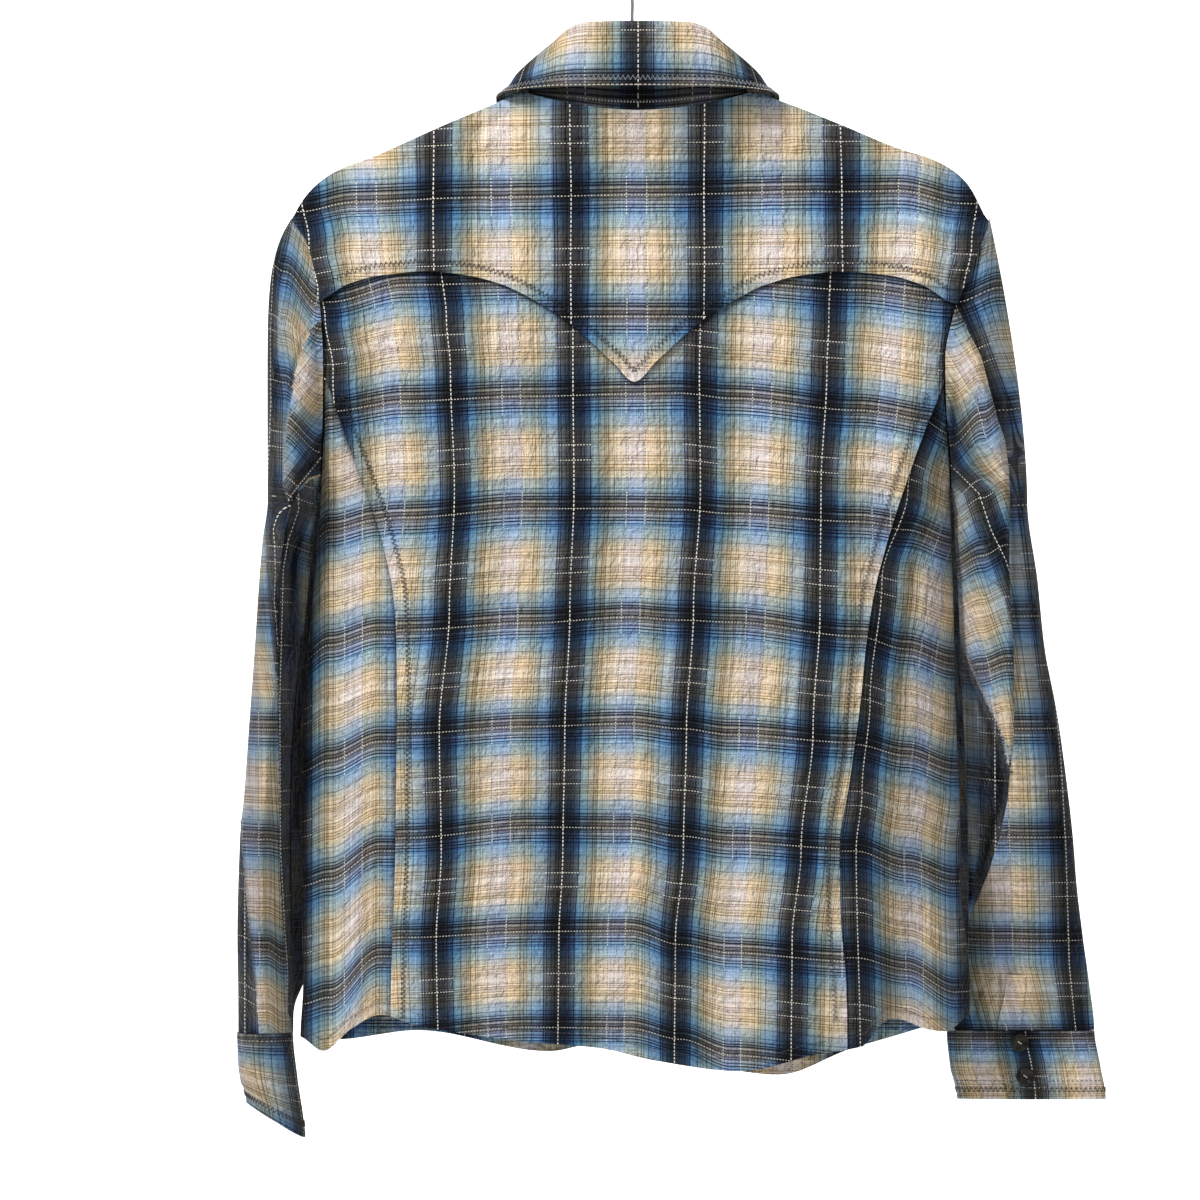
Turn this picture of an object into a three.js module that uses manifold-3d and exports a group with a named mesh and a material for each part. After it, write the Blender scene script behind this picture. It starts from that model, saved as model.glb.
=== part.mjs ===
// A long-sleeved western shirt that hangs on a wire hanger.
// Units are millimetres, +Z is up and the shirt's front faces -Y, so +X is the wearer's left.
// The origin is the inside top of the hanger's hook.

import * as THREE from "three";
import { mergeVertices } from "three/addons/utils/BufferGeometryUtils.js";
import Module from "manifold-3d";

// Cloth
const CLOTH = 1.2; // wall of one layer
const COLLAR_WALL = 1.6; // wall of the collar, two layers and a stiffener
const SEAM = 0.3; // gap between neighbouring pieces
const LAP = CLOTH + SEAM; // how far a piece that lies on another is moved out

// Body
const CENTRE_X = -2; // middle of the neck
const CREST_ROUND = 7; // how soon the cloth turns over the shoulder
const SHOULDER_FLAT = 0.24; // share of the full depth just below the shoulder
const SHOULDER_FALL = 75; // length over which the cloth reaches its full depth
const SIDE_POWER = 5; // how square the body's cross-section is
const FRONT_EDGE_X = -14; // where the right front ends and the left front begins
const BAND_WIDTH = 30;
const BAND_TOP_DROP = 4; // how far below the neck seam the band starts
const YOKE_LAP = 8; // length of the back that lies under the yoke
const YOKE_LIFT = CLOTH + 1.2; // how far the yoke's lower edge stands over the back
const YOKE_TIP_X = 0.7;
const FRONT_SPREAD = 1.5; // how much closer the fronts' rows are at the top

// Neck and collar
const NECK_HALF_WIDTH = 79;
const NECK_BACK_DEPTH = 42;
const NECK_FRONT_DEPTH = 40;
const NECK_SIDE_Z = -103.5;
const NECK_BACK_DROP = 14;
const NECK_FRONT_DROP = 76;
const NECK_SPREAD = 0.5; // how fast the neck's bulge widens below the seam
const NECK_FADE = 60; // length over which that bulge fades
const FOLD_HALF_WIDTH = 75;
const FOLD_DEPTH = 34;
const STAND_BELOW_FOLD = 5;
const STAND_TOP_GAP = 1;
const STAND_INSET = 3.2; // how far the stand's foot lies inside the neck's edge
const STAND_END_ANGLE = 179.7;
const FALL_END_ANGLE = 172;

// Armholes, long thin ovals that face sideways
const ARMHOLE_TOP_Z = -190;
const ARMHOLE_BOTTOM_Z = -378;
const ARMHOLE_DEPTH = 24;
const ARMHOLE_GAP = 1.4;

// Cuffs
const CUFF_OVERLAP = 26;
const CUFF_SPIRAL = CLOTH + 0.5;
const SEAM_TO_CUFF = 0.4;

// Buttons
const BUTTON_RADIUS = 6.35;
const BUTTON_THICK = 2.6;
const FRONT_BUTTONS = 6;
const FRONT_BUTTON_TOP_Z = -215;
const FRONT_BUTTON_PITCH = 92;
const COLLAR_BUTTON_ROW = 0.5; // how far down the stand its button sits

// Hanger
const WIRE_RADIUS = 1.15;
const HOOK_RADIUS = 16;
const STEM_X = 2;
const HANGER_NECK_Z = -77.8;
const HANGER_SLOPE = 0.392;
const HANGER_TILT = 0.0196;
const HANGER_REACH = 203;
const HANGER_BEND = 9;

// A table has one row per section or fold and its columns have names.
function table(names, rows) {
  return rows.map((row) => Object.fromEntries(names.map((name, i) => [name, row[i]])));
}

// The body's edges: the armhole seams above the underarm and the side seams below it.
const EDGES = table(
  ["z", "left", "right"],
  [
    [-757, 231, -231],
    [-717, 229, -231],
    [-690, 229.5, -229],
    [-650, 230, -225],
    [-590, 230.5, -224.3],
    [-545, 230, -222],
    [-505, 227, -220.8],
    [-448, 222, -219.5],
    [-404, 218.5, -218],
    [-365, 216, -217],
    [-320, 214.2, -213.4],
    [-288, 214, -212.6],
    [-254, 216, -219.4],
    [-225, 220, -230.5],
    [-206, 226, -239],
    [-190, 236, -244],
    [-100, 236, -244],
  ],
);

// The outline of the shoulders, from the neck outwards.
const SHOULDERS = table(
  ["x", "z"],
  [
    [-244, -192.5],
    [-238, -182],
    [-230.5, -168.3],
    [-220, -158],
    [-206, -150.3],
    [-179, -141.4],
    [-141, -125.5],
    [-100, -109.5],
    [-81, -103.5],
    [77, -102.5],
    [90, -108.5],
    [134.6, -127.5],
    [178, -147],
    [207, -158.5],
    [221.5, -169],
    [231.8, -182],
    [236, -190.5],
  ],
);

// Half the distance between front and back.
const DEPTHS = table(
  ["z", "back", "front"],
  [
    [-760, 42, 40],
    [-600, 38, 36],
    [-400, 36, 33],
    [-250, 31, 28],
    [-160, 25, 22],
    [-100, 20, 20],
  ],
);

// Lower edge of the yoke, by the distance from its tip.
const YOKE_EDGE = table(
  ["out", "z"],
  [
    [0, -304],
    [15, -290],
    [36, -270.5],
    [52, -258],
    [67, -249],
    [90, -237.5],
    [113, -231.3],
    [142, -228.2],
    [175, -230.8],
    [197, -237],
    [222, -250],
  ],
);

// The two princess seams of the back.
const PRINCESS = table(
  ["z", "left", "right"],
  [
    [-770, 166.5, -144.3],
    [-720, 166, -143.5],
    [-664, 164.2, -139.5],
    [-626, 163.4, -139],
    [-576, 162.8, -146.5],
    [-521, 162.2, -153.9],
    [-486, 162.8, -157.3],
    [-450, 164.9, -162.8],
    [-415, 172, -171.8],
    [-380, 183, -182.9],
    [-337, 199.5, -198],
    [-309, 208.6, -209],
    [-288, 216, -214.6],
  ],
);
const PRINCESS_TOP_Z = -302;
const PRINCESS_TOP_X = 211;
const PRINCESS_GAP = 0.5;
const KNEE_DROP = 22; // how much lower the centre back's first full row hangs in the middle

// Hem of the back and the fronts.
const BACK_HEM = table(
  ["x", "z"],
  [
    [-232, -740],
    [-214, -750.5],
    [-201, -749],
    [-177, -741],
    [-166, -748],
    [-157, -760],
    [-123, -766],
    [-70, -777.4],
    [-14, -770],
    [24, -761.6],
    [88, -755.4],
    [151, -745.7],
    [175, -738.8],
    [196, -749],
    [215, -764],
    [231.5, -755],
  ],
);
const FRONT_HEM = table(
  ["x", "z"],
  [
    [-232, -740],
    [-205, -748],
    [-150, -765],
    [-100, -783],
    [-40, -774],
    [30, -762],
    [60, -767],
    [150, -752],
    [205, -758],
    [231.5, -755],
  ],
);

// Soft folds of the body that run down to the hem. The face is 1 on the back and -1 on the front.
const BODY_FOLDS = table(
  ["face", "top", "x", "hemX", "width", "depth"],
  [
    [1, -560, 196, 200, 13, 8],
    [1, -560, 176, 173, 10, -7],
    [1, -600, 120, 112, 16, -4],
    [1, -560, 62, 58, 22, 4],
    [1, -620, -20, -30, 24, -4],
    [1, -600, -84, -92, 22, 5],
    [1, -590, -160, -163, 10, 6],
    [1, -600, -185, -186, 11, -7],
    [1, -560, -205, -212, 11, 6],
    [-1, -520, 180, 190, 16, 8],
    [-1, -560, 130, 136, 18, -6],
    [-1, -540, 74, 80, 20, 6],
    [-1, -560, -60, -66, 20, -5],
    [-1, -520, -120, -128, 20, 8],
    [-1, -560, -170, -178, 16, -6],
  ],
);

// Fold line of the collar, by the angle from the middle of the back.
const COLLAR_FOLD = table(
  ["angle", "z"],
  [
    [0, -55.8],
    [26, -56.2],
    [37, -59.5],
    [47, -68],
    [65, -79.5],
    [90, -91],
    [120, -112],
    [150, -140],
    [180, -154],
  ],
);

// Lower edge of the collar, by the angle of the fold line above it.
const COLLAR_EDGE = table(
  ["angle", "x", "y", "z"],
  [
    [0, 0, 52, -101],
    [30, 48, 46, -101],
    [60, 82, 29, -102.5],
    [85, 94.5, 9, -104],
    [105, 98, -10, -107],
    [130, 95, -25, -134],
    [150, 86, -34, -168],
    [172, 66, -41, -206],
  ],
);

// Sleeve sections below the underarm. Outer and inner are x, back and front are y,
// lean turns the section, and dip is how much lower the inner side hangs.
const SLEEVE_COLUMNS = ["z", "outer", "inner", "back", "front", "lean", "dip"];
const SLEEVES = {
  left: table(SLEEVE_COLUMNS, [
    [-385, 254, 220.5, 44, -70, -0.1, 10],
    [-412, 257.5, 223, 47, -74, -0.15, 8],
    [-440, 260, 225.5, 48, -75, -0.2, 6],
    [-486, 263, 230, 46, -74, -0.2, 4],
    [-532, 266.3, 234.5, 43, -71, -0.15, 2],
    [-585, 270, 237, 40, -67, -0.1, 0],
    [-620, 273, 237.5, 37, -63, 0, 0],
    [-686, 274.6, 236.7, 33, -57, 0.1, 0],
    [-726, 274, 236, 31, -51, 0.1, 0],
    [-752, 273.9, 236, 29, -47, 0.1, 0],
  ]),
  right: table(SLEEVE_COLUMNS, [
    [-385, -271, -221, 44, -72, 0.1, 10],
    [-440, -278, -223.5, 42, -76, 0.15, 6],
    [-486, -282.8, -225.5, 40, -77, 0.2, 4],
    [-532, -291.5, -227.5, 34, -76, 0.25, 2],
    [-585, -299, -230, 24, -75, 0.3, 0],
    [-620, -303, -231, 14, -73, 0.35, 0],
    [-650, -305.5, -231.5, 4, -71, 0.4, 0],
    [-686, -310, -231.5, -9, -68, 0.45, 0],
    [-720, -315, -226, -22, -65, 0.4, 0],
    [-752, -318.8, -216, -33, -59, 0.2, 0],
  ]),
};
const CAP_REACH = { left: 8, right: 1.6 }; // how soon the sleeve's top line moves outwards

// Sleeve folds: along is the place down the sleeve from 0 at the armhole to 1 at the cuff,
// angle goes round from the outer line at 0 over the back at 90, and depth is outwards.
const SLEEVE_FOLDS = {
  left: table(
    ["start", "end", "startAngle", "endAngle", "width", "depth"],
    [
      [0.04, 0.44, 98, 118, 26, 9],
      [0.06, 0.62, 62, 50, 18, -6],
      [0.3, 0.44, 130, 100, 14, -7],
      [0.5, 1, 92, 84, 20, 7],
      [0.45, 0.98, 40, 48, 15, -5],
      [0.4, 0.95, 250, 262, 24, 7],
      [0.1, 0.6, 292, 300, 18, -7],
    ],
  ),
  right: table(
    ["start", "end", "startAngle", "endAngle", "width", "depth"],
    [
      [0.06, 0.34, 70, 60, 20, 7],
      [0.1, 0.72, 46, 42, 12, -7],
      [0.26, 0.46, 140, 92, 16, -8],
      [0.34, 0.74, 84, 66, 22, 8],
      [0.62, 0.96, 96, 112, 14, -6],
      [0.7, 1, 70, 62, 16, 5],
      [0.2, 0.7, 250, 262, 24, 7],
      [0.1, 0.6, 296, 304, 18, -7],
    ],
  ),
};

const CUFFS = {
  left: table(SLEEVE_COLUMNS, [
    [-752, 273.9, 236, 29, -47, 0.1, 0],
    [-776, 273.4, 232.5, 30, -44, 0, 8],
    [-800, 268, 227, 31, -42, -0.1, 24],
  ]),
  right: table(SLEEVE_COLUMNS, [
    [-752, -318.8, -216, -34, -58, 0.15, 0],
    [-776, -322.6, -218, -34, -57, 0.1, 0],
    [-799.5, -326.4, -223, -34, -56, 0.1, 0],
  ]),
};

// Where each cuff's overlapping end lies, as an angle round the cuff, and how far down its buttons sit.
const CUFF_EDGE_ANGLE = { left: 288, right: 108 };
const CUFF_BUTTON_ROWS = [0.17, 0.66];
const BUTTON_FROM_CUFF_EDGE = { left: 14, right: 14.5 };
// The placket covers one column of the sleeve's grid, from this angle on, over its last rows.
const PLACKET = { start: { left: 270, right: 90 }, rows: 2 };

// Grid sizes, as cells across and down.
const GRIDS = {
  yokeShoulder: 7,
  yokeNeck: 12,
  yokeRows: 8,
  centreAcross: 16,
  centreTop: 3,
  side: [4, 20],
  frontNeck: 4,
  frontShoulder: 5,
  frontRows: 22,
  bandAcross: 2,
  sleeve: [20, 28],
  cap: 9,
  cuff: [22, 3],
  stand: [26, 3],
  fall: [26, 7],
};

const COLOURS = { cloth: 0x7d93a6, button: 0x2e2c22, wire: 0xa8abad };

// Helpers for numbers and tables

function mix(a, b, share) {
  return a + (b - a) * share;
}

function clamp01(value) {
  return Math.min(Math.max(value, 0), 1);
}

function smooth(value) {
  const t = clamp01(value);
  return t * t * (3 - 2 * t);
}

function radians(degrees) {
  return (degrees * Math.PI) / 180;
}

// Slope of a table's column at row i that never overshoots its rows.
function slopeAt(rows, key, name, i) {
  if (i === 0 || i === rows.length - 1) return 0;
  const before = (rows[i][name] - rows[i - 1][name]) / (rows[i][key] - rows[i - 1][key]);
  const after = (rows[i + 1][name] - rows[i][name]) / (rows[i + 1][key] - rows[i][key]);
  return before * after <= 0 ? 0 : (2 * before * after) / (before + after);
}

// A column's value at any key, on a smooth curve through the rows, held at the two ends.
function look(rows, key, name, value) {
  const rising = rows[rows.length - 1][key] > rows[0][key];
  const first = rising ? rows[0] : rows[rows.length - 1];
  const last = rising ? rows[rows.length - 1] : rows[0];
  if (value <= first[key]) return first[name];
  if (value >= last[key]) return last[name];
  let i = 0;
  while (rising ? rows[i + 1][key] < value : rows[i + 1][key] > value) i += 1;
  const span = rows[i + 1][key] - rows[i][key];
  const t = (value - rows[i][key]) / span;
  const a = rows[i][name];
  const b = rows[i + 1][name];
  const curve = smooth(t);
  const leave = slopeAt(rows, key, name, i) * span * t * (1 - t) * (1 - t);
  const arrive = slopeAt(rows, key, name, i + 1) * span * t * t * (1 - t);
  return mix(a, b, curve) + leave - arrive;
}

// Closed cloth walls

// point(c, r) is the outer face for c across and r down, both 0 to 1. The wall is made inwards
// from it, after it is moved out by lift. A ring's last column is its first one, and a patch
// of a larger surface is measured past its own edges. half is 1 for a piece that stays behind
// the middle plane and -1 for one that stays in front of it.
function wall(point, cells, options = {}) {
  const { lift = 0, thick = CLOTH, facing = 1, half = 0, ring = false, patch = false } = options;
  const [across, down] = cells;
  const step = 0.02;
  const columns = ring ? across : across + 1;
  const outer = [];
  const inner = [];
  for (let j = 0; j <= down; j += 1) {
    for (let i = 0; i < columns; i += 1) {
      const c = i / across;
      const r = j / down;
      const low = ring || patch ? c - step : Math.max(c - step, 0);
      const high = ring || patch ? c + step : Math.min(c + step, 1);
      const alongC = point(high, r).sub(point(low, r));
      const alongR = point(c, Math.min(r + step, 1)).sub(point(c, Math.max(r - step, 0)));
      const normal = alongC.cross(alongR).normalize().multiplyScalar(facing);
      const place = point(c, r);
      const moved = typeof lift === "function" ? lift(c, r) : lift;
      outer.push(place.clone().addScaledVector(normal, moved));
      inner.push(place.clone().addScaledVector(normal, moved - thick));
    }
  }
  for (const place of half ? [...outer, ...inner] : []) {
    place.y = half * Math.max(half * place.y, SEAM / 2);
  }
  const count = outer.length;
  const faces = [];
  const at = (i, j) => (i % columns) + j * columns;
  const quad = (a, b, c, d) => {
    if (facing > 0) faces.push(a, b, c, a, c, d);
    else faces.push(a, c, b, a, d, c);
  };
  for (let j = 0; j < down; j += 1) {
    for (let i = 0; i < across; i += 1) {
      quad(at(i, j), at(i + 1, j), at(i + 1, j + 1), at(i, j + 1));
      quad(at(i, j) + count, at(i, j + 1) + count, at(i + 1, j + 1) + count, at(i + 1, j) + count);
    }
  }
  for (let i = 0; i < across; i += 1) {
    quad(at(i, 0), at(i, 0) + count, at(i + 1, 0) + count, at(i + 1, 0));
    quad(at(i, down), at(i + 1, down), at(i + 1, down) + count, at(i, down) + count);
  }
  for (let j = 0; !ring && j < down; j += 1) {
    quad(at(0, j), at(0, j + 1), at(0, j + 1) + count, at(0, j) + count);
    quad(at(across, j), at(across, j) + count, at(across, j + 1) + count, at(across, j + 1));
  }
  const geometry = new THREE.BufferGeometry().setFromPoints([...outer, ...inner]);
  geometry.setIndex(faces);
  geometry.computeVertexNormals();
  return geometry;
}

// The body as a whole

function edgeAt(side, z) {
  return look(EDGES, "z", side, z);
}

function armholeDepth(z) {
  const middle = (ARMHOLE_TOP_Z + ARMHOLE_BOTTOM_Z) / 2;
  const half = (ARMHOLE_TOP_Z - ARMHOLE_BOTTOM_Z) / 2;
  const off = (z - middle) / half;
  return ARMHOLE_DEPTH * Math.sqrt(Math.max(1 - off * off, 0));
}

// The neck seam's height over x, on the back or the front.
function neckSeamZ(x, face) {
  const rest = Math.max(1 - ((x - CENTRE_X) / NECK_HALF_WIDTH) ** 2, 0);
  return NECK_SIDE_Z - (face > 0 ? NECK_BACK_DROP * rest : NECK_FRONT_DROP * rest ** 0.75);
}

// Top of a panel: the neck seam in the middle and the shoulder beside it.
function panelTopZ(x, face) {
  const inNeck = Math.abs(x - CENTRE_X) < NECK_HALF_WIDTH;
  return inNeck ? neckSeamZ(x, face) : look(SHOULDERS, "x", "z", x);
}

function foldDepth(x, z, face) {
  let sum = 0;
  for (const fold of BODY_FOLDS) {
    if (fold.face !== face) continue;
    const share = (fold.top - z) / (fold.top - BACK_HEM[0].z);
    const off = (x - mix(fold.x, fold.hemX, share)) / fold.width;
    sum += fold.depth * smooth(share) * Math.exp(-off * off);
  }
  return sum;
}

// How far the body's outer face lies from the middle plane.
function bodyDepth(x, z, face) {
  const left = edgeAt("left", z);
  const right = edgeAt("right", z);
  const side = Math.min(Math.abs((2 * x - left - right) / (left - right)), 1);
  const across = Math.sqrt(Math.max(1 - side ** SIDE_POWER, 0));
  const rim = armholeDepth(z);
  const full = look(DEPTHS, "z", face > 0 ? "back" : "front", z);
  const below = Math.max(look(SHOULDERS, "x", "z", x) - z, 0);
  const turned = Math.sqrt(1 - (1 - Math.min(below / CREST_ROUND, 1)) ** 2);
  const open = mix(SHOULDER_FLAT, 1, 1 - Math.exp(-below / SHOULDER_FALL));
  const hang = rim + Math.max(full - rim, 0) * across * turned * open;
  const fromNeck = Math.max(panelTopZ(x, face) - z, 0);
  const neckWidth = NECK_HALF_WIDTH + NECK_SPREAD * fromNeck;
  const neckRest = Math.max(1 - ((x - CENTRE_X) / neckWidth) ** 2, 0);
  const neckDepth = face > 0 ? NECK_BACK_DEPTH : NECK_FRONT_DEPTH;
  const neck = neckDepth * Math.sqrt(neckRest) * Math.exp(-fromNeck / NECK_FADE);
  return Math.cbrt(hang ** 3 + neck ** 3) + foldDepth(x, z, face) * across;
}

function bodyPoint(x, z, face) {
  return new THREE.Vector3(x, face * Math.max(bodyDepth(x, z, face), SEAM / 2), z);
}

// A point between two side lines and between a top and a bottom line that depend on x.
function betweenLines({ share, down, rightX, leftX, topZ, bottomZ, face }) {
  let x = mix(rightX(topZ(0)), leftX(topZ(0)), share);
  let z = 0;
  for (let turn = 0; turn < 6; turn += 1) {
    z = mix(topZ(x), bottomZ(x), down);
    x = mix(rightX(z), leftX(z), share);
  }
  return bodyPoint(x, z, face);
}

// Spreads columns so that one of them meets the neck's corner at the top.
function spreadToCorner(c, cornerColumn, cornerShare) {
  if (c <= cornerColumn) return (c / cornerColumn) * cornerShare;
  return mix(cornerShare, 1, (c - cornerColumn) / (1 - cornerColumn));
}

// Back pieces

function yokeEdgeZ(x) {
  return look(YOKE_EDGE, "out", "z", Math.abs(x - YOKE_TIP_X));
}

function yokePoint(c, r) {
  const { yokeShoulder, yokeNeck } = GRIDS;
  const all = 2 * yokeShoulder + yokeNeck;
  const left = edgeAt("left", ARMHOLE_TOP_Z);
  const right = edgeAt("right", ARMHOLE_TOP_Z);
  const corners = [-1, 1].map((k) => (CENTRE_X + k * NECK_HALF_WIDTH - right) / (left - right));
  const columns = [yokeShoulder / all, (yokeShoulder + yokeNeck) / all];
  const topShare =
    c < columns[0]
      ? (c / columns[0]) * corners[0]
      : c < columns[1]
        ? mix(corners[0], corners[1], (c - columns[0]) / (columns[1] - columns[0]))
        : mix(corners[1], 1, (c - columns[1]) / (1 - columns[1]));
  const tipShare = (YOKE_TIP_X - edgeAt("right", -254)) / (edgeAt("left", -254) - edgeAt("right", -254));
  const bottomShare = c + (tipShare - 0.5) * 4 * c * (1 - c);
  return betweenLines({
    share: mix(topShare, bottomShare, r),
    down: r * r,
    rightX: (z) => edgeAt("right", z),
    leftX: (z) => edgeAt("left", z),
    topZ: (x) => panelTopZ(x, 1),
    bottomZ: yokeEdgeZ,
    face: 1,
  });
}

function seamOrEdge(side, z) {
  const inwards = side === "left" ? -1 : 1;
  const edge = edgeAt(side, z);
  const seam = look(PRINCESS, "z", side, z) + (inwards * PRINCESS_GAP) / 2;
  return side === "left" ? Math.min(edge, seam) : Math.max(edge, seam);
}

// The row of the centre back that starts level with the tops of the side panels.
function kneeZ(x) {
  return PRINCESS_TOP_Z - KNEE_DROP * (1 - (x / PRINCESS_TOP_X) ** 2);
}

function centreBackPoint(c, r) {
  const knee = GRIDS.centreTop / (GRIDS.centreTop + GRIDS.side[1]);
  const above = r < knee;
  const top = (x) => yokeEdgeZ(x) + YOKE_LAP;
  const hem = (x) => look(BACK_HEM, "x", "z", x);
  return betweenLines({
    share: c,
    down: above ? r / knee : (r - knee) / (1 - knee),
    rightX: (z) => seamOrEdge("right", z),
    leftX: (z) => seamOrEdge("left", z),
    topZ: above ? top : kneeZ,
    bottomZ: above ? kneeZ : hem,
    face: 1,
  });
}

function sideBackPoint(side, c, r) {
  const outwards = side === "left" ? 1 : -1;
  const seamX = (z) => look(PRINCESS, "z", side, z) + (outwards * PRINCESS_GAP) / 2;
  const edgeX = (z) => edgeAt(side, z);
  const nearEdge = side === "left" ? 1 - (1 - c) ** 2 : c * c;
  return betweenLines({
    share: nearEdge,
    down: r,
    rightX: side === "left" ? seamX : edgeX,
    leftX: side === "left" ? edgeX : seamX,
    topZ: () => PRINCESS_TOP_Z,
    bottomZ: (x) => look(BACK_HEM, "x", "z", x),
    face: 1,
  });
}

// Front pieces

function frontPoint(side, c, r) {
  const { frontNeck, frontShoulder } = GRIDS;
  const inner = FRONT_EDGE_X + (side === "left" ? SEAM / 2 : -SEAM / 2);
  const edgeTop = edgeAt(side, ARMHOLE_TOP_Z);
  const corner = CENTRE_X + (side === "left" ? NECK_HALF_WIDTH : -NECK_HALF_WIDTH);
  const cornerShare = (corner - inner) / (edgeTop - inner);
  const topShare = spreadToCorner(c, frontNeck / (frontNeck + frontShoulder), cornerShare);
  const lowShare = Math.sin((c * Math.PI) / 2);
  const share = mix(topShare, lowShare, smooth(r * 2));
  return betweenLines({
    share: side === "left" ? share : 1 - share,
    down: r ** FRONT_SPREAD,
    rightX: side === "left" ? () => inner : (z) => edgeAt("right", z),
    leftX: side === "left" ? (z) => edgeAt("left", z) : () => inner,
    topZ: (x) => panelTopZ(x, -1),
    bottomZ: (x) => look(FRONT_HEM, "x", "z", x),
    face: -1,
  });
}

function bandPoint(c, r) {
  const x = mix(-BAND_WIDTH / 2, BAND_WIDTH / 2, c);
  const z = mix(neckSeamZ(x, -1) - BAND_TOP_DROP, look(FRONT_HEM, "x", "z", x), r ** FRONT_SPREAD);
  return bodyPoint(x, z, -1);
}

// Collar

function ringPoint(degrees, halfWidth, depth, z) {
  const angle = radians(degrees);
  return new THREE.Vector3(CENTRE_X + halfWidth * Math.sin(angle), depth * Math.cos(angle), z);
}

// The stand's foot, just inside and above the neck's edge.
function standFoot(degrees) {
  const face = Math.abs(degrees) < 90 ? 1 : -1;
  const depth = face > 0 ? NECK_BACK_DEPTH : NECK_FRONT_DEPTH;
  const x = CENTRE_X + NECK_HALF_WIDTH * Math.sin(radians(degrees));
  const z = neckSeamZ(x, face) + SEAM;
  return ringPoint(degrees, NECK_HALF_WIDTH - STAND_INSET, depth - STAND_INSET, z);
}

function foldPoint(degrees) {
  const z = look(COLLAR_FOLD, "angle", "z", Math.abs(degrees));
  return ringPoint(degrees, FOLD_HALF_WIDTH, FOLD_DEPTH, z);
}

function standPoint(c, r) {
  const degrees = mix(-STAND_END_ANGLE, STAND_END_ANGLE, c);
  const top = foldPoint(degrees);
  top.z -= STAND_BELOW_FOLD + STAND_TOP_GAP;
  return top.lerp(standFoot(degrees), r);
}

// The fall rises from the stand, turns over and hangs outside it.
const FALL_ROWS = table(
  ["r", "out", "up", "down"],
  [
    [0, 0, -STAND_BELOW_FOLD, 0],
    [0.14, 1.6, 0, 0],
    [0.28, 6.5, -3, 0],
    [0.5, 8, -2, 0.25],
    [1, 0, 0, 1],
  ],
);

function fallPoint(c, r) {
  const degrees = mix(-FALL_END_ANGLE, FALL_END_ANGLE, c);
  const start = foldPoint(degrees);
  const size = Math.abs(degrees);
  const edge = new THREE.Vector3(
    CENTRE_X + Math.sign(degrees) * look(COLLAR_EDGE, "angle", "x", size),
    look(COLLAR_EDGE, "angle", "y", size),
    look(COLLAR_EDGE, "angle", "z", size),
  );
  const outwards = ringPoint(degrees, 1, 1, 0);
  outwards.x -= CENTRE_X;
  const down = look(FALL_ROWS, "r", "down", r);
  start.addScaledVector(outwards, look(FALL_ROWS, "r", "out", r));
  start.z += look(FALL_ROWS, "r", "up", r);
  return start.lerp(edge, down);
}

// Sleeves and cuffs

function sectionPoint(row, angle) {
  const x = mix(row.inner, row.outer, (1 + Math.cos(angle)) / 2);
  const middle = (row.back + row.front) / 2;
  const half = (row.back - row.front) / 2;
  const dip = (row.dip * (1 - Math.cos(angle))) / 2;
  return new THREE.Vector3(x, middle + half * Math.sin(angle + row.lean), row.z - dip);
}

function rowAt(rows, z) {
  const row = { z };
  for (const name of SLEEVE_COLUMNS.slice(1)) row[name] = look(rows, "z", name, z);
  return row;
}

function armholePoint(side, angle) {
  const z = mix(ARMHOLE_BOTTOM_Z, ARMHOLE_TOP_Z, (1 + Math.cos(angle)) / 2);
  const gap = side === "left" ? ARMHOLE_GAP : -ARMHOLE_GAP;
  return new THREE.Vector3(edgeAt(side, z) + gap, ARMHOLE_DEPTH * Math.sin(angle), z);
}

function sleeveFold(side, angle, along) {
  const degrees = (((angle * 180) / Math.PI) % 360 + 360) % 360;
  let sum = 0;
  for (const fold of SLEEVE_FOLDS[side]) {
    const share = (along - fold.start) / (fold.end - fold.start);
    if (share <= 0 || share >= 1) continue;
    const off = (degrees - mix(fold.startAngle, fold.endAngle, share)) / fold.width;
    sum += fold.depth * Math.sin(Math.PI * share) ** 0.7 * Math.exp(-off * off);
  }
  return sum;
}

// angle goes round the sleeve, along goes down it.
function sleevePoint(side, angle, along) {
  const { cap, sleeve } = GRIDS;
  const capShare = cap / sleeve[1];
  const rows = SLEEVES[side];
  const bottom = rows[rows.length - 1].z;
  let place;
  if (along < capShare) {
    const t = (along / capShare) ** 1.5;
    const reach = 1 - (1 - t) ** mix(1, CAP_REACH[side], (1 + Math.cos(angle)) / 2);
    const from = armholePoint(side, angle);
    const to = sectionPoint(rows[0], angle);
    place = new THREE.Vector3(mix(from.x, to.x, reach), mix(from.y, to.y, t), mix(from.z, to.z, t));
  } else {
    const z = mix(rows[0].z, bottom, (along - capShare) / (1 - capShare));
    place = sectionPoint(rowAt(rows, z), angle);
  }
  const middle = (look(rows, "z", "back", place.z) + look(rows, "z", "front", place.z)) / 2;
  const away = place.y > middle ? 1 : -1;
  place.y += away * Math.abs(Math.sin(angle)) * sleeveFold(side, angle, along);
  return place;
}

function cuffRow(side, r) {
  const rows = CUFFS[side];
  const bottom = rows[rows.length - 1].z;
  return rowAt(rows, mix(rows[0].z, bottom, r));
}

// How far round the cuff, in degrees, a length of cloth reaches near the overlap.
function cuffDegrees(side, length) {
  const row = cuffRow(side, 0.5);
  const near = radians(CUFF_EDGE_ANGLE[side]);
  const perRadian = sectionPoint(row, near + 0.05).distanceTo(sectionPoint(row, near - 0.05)) / 0.1;
  return (length / perRadian) * (180 / Math.PI);
}

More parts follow.
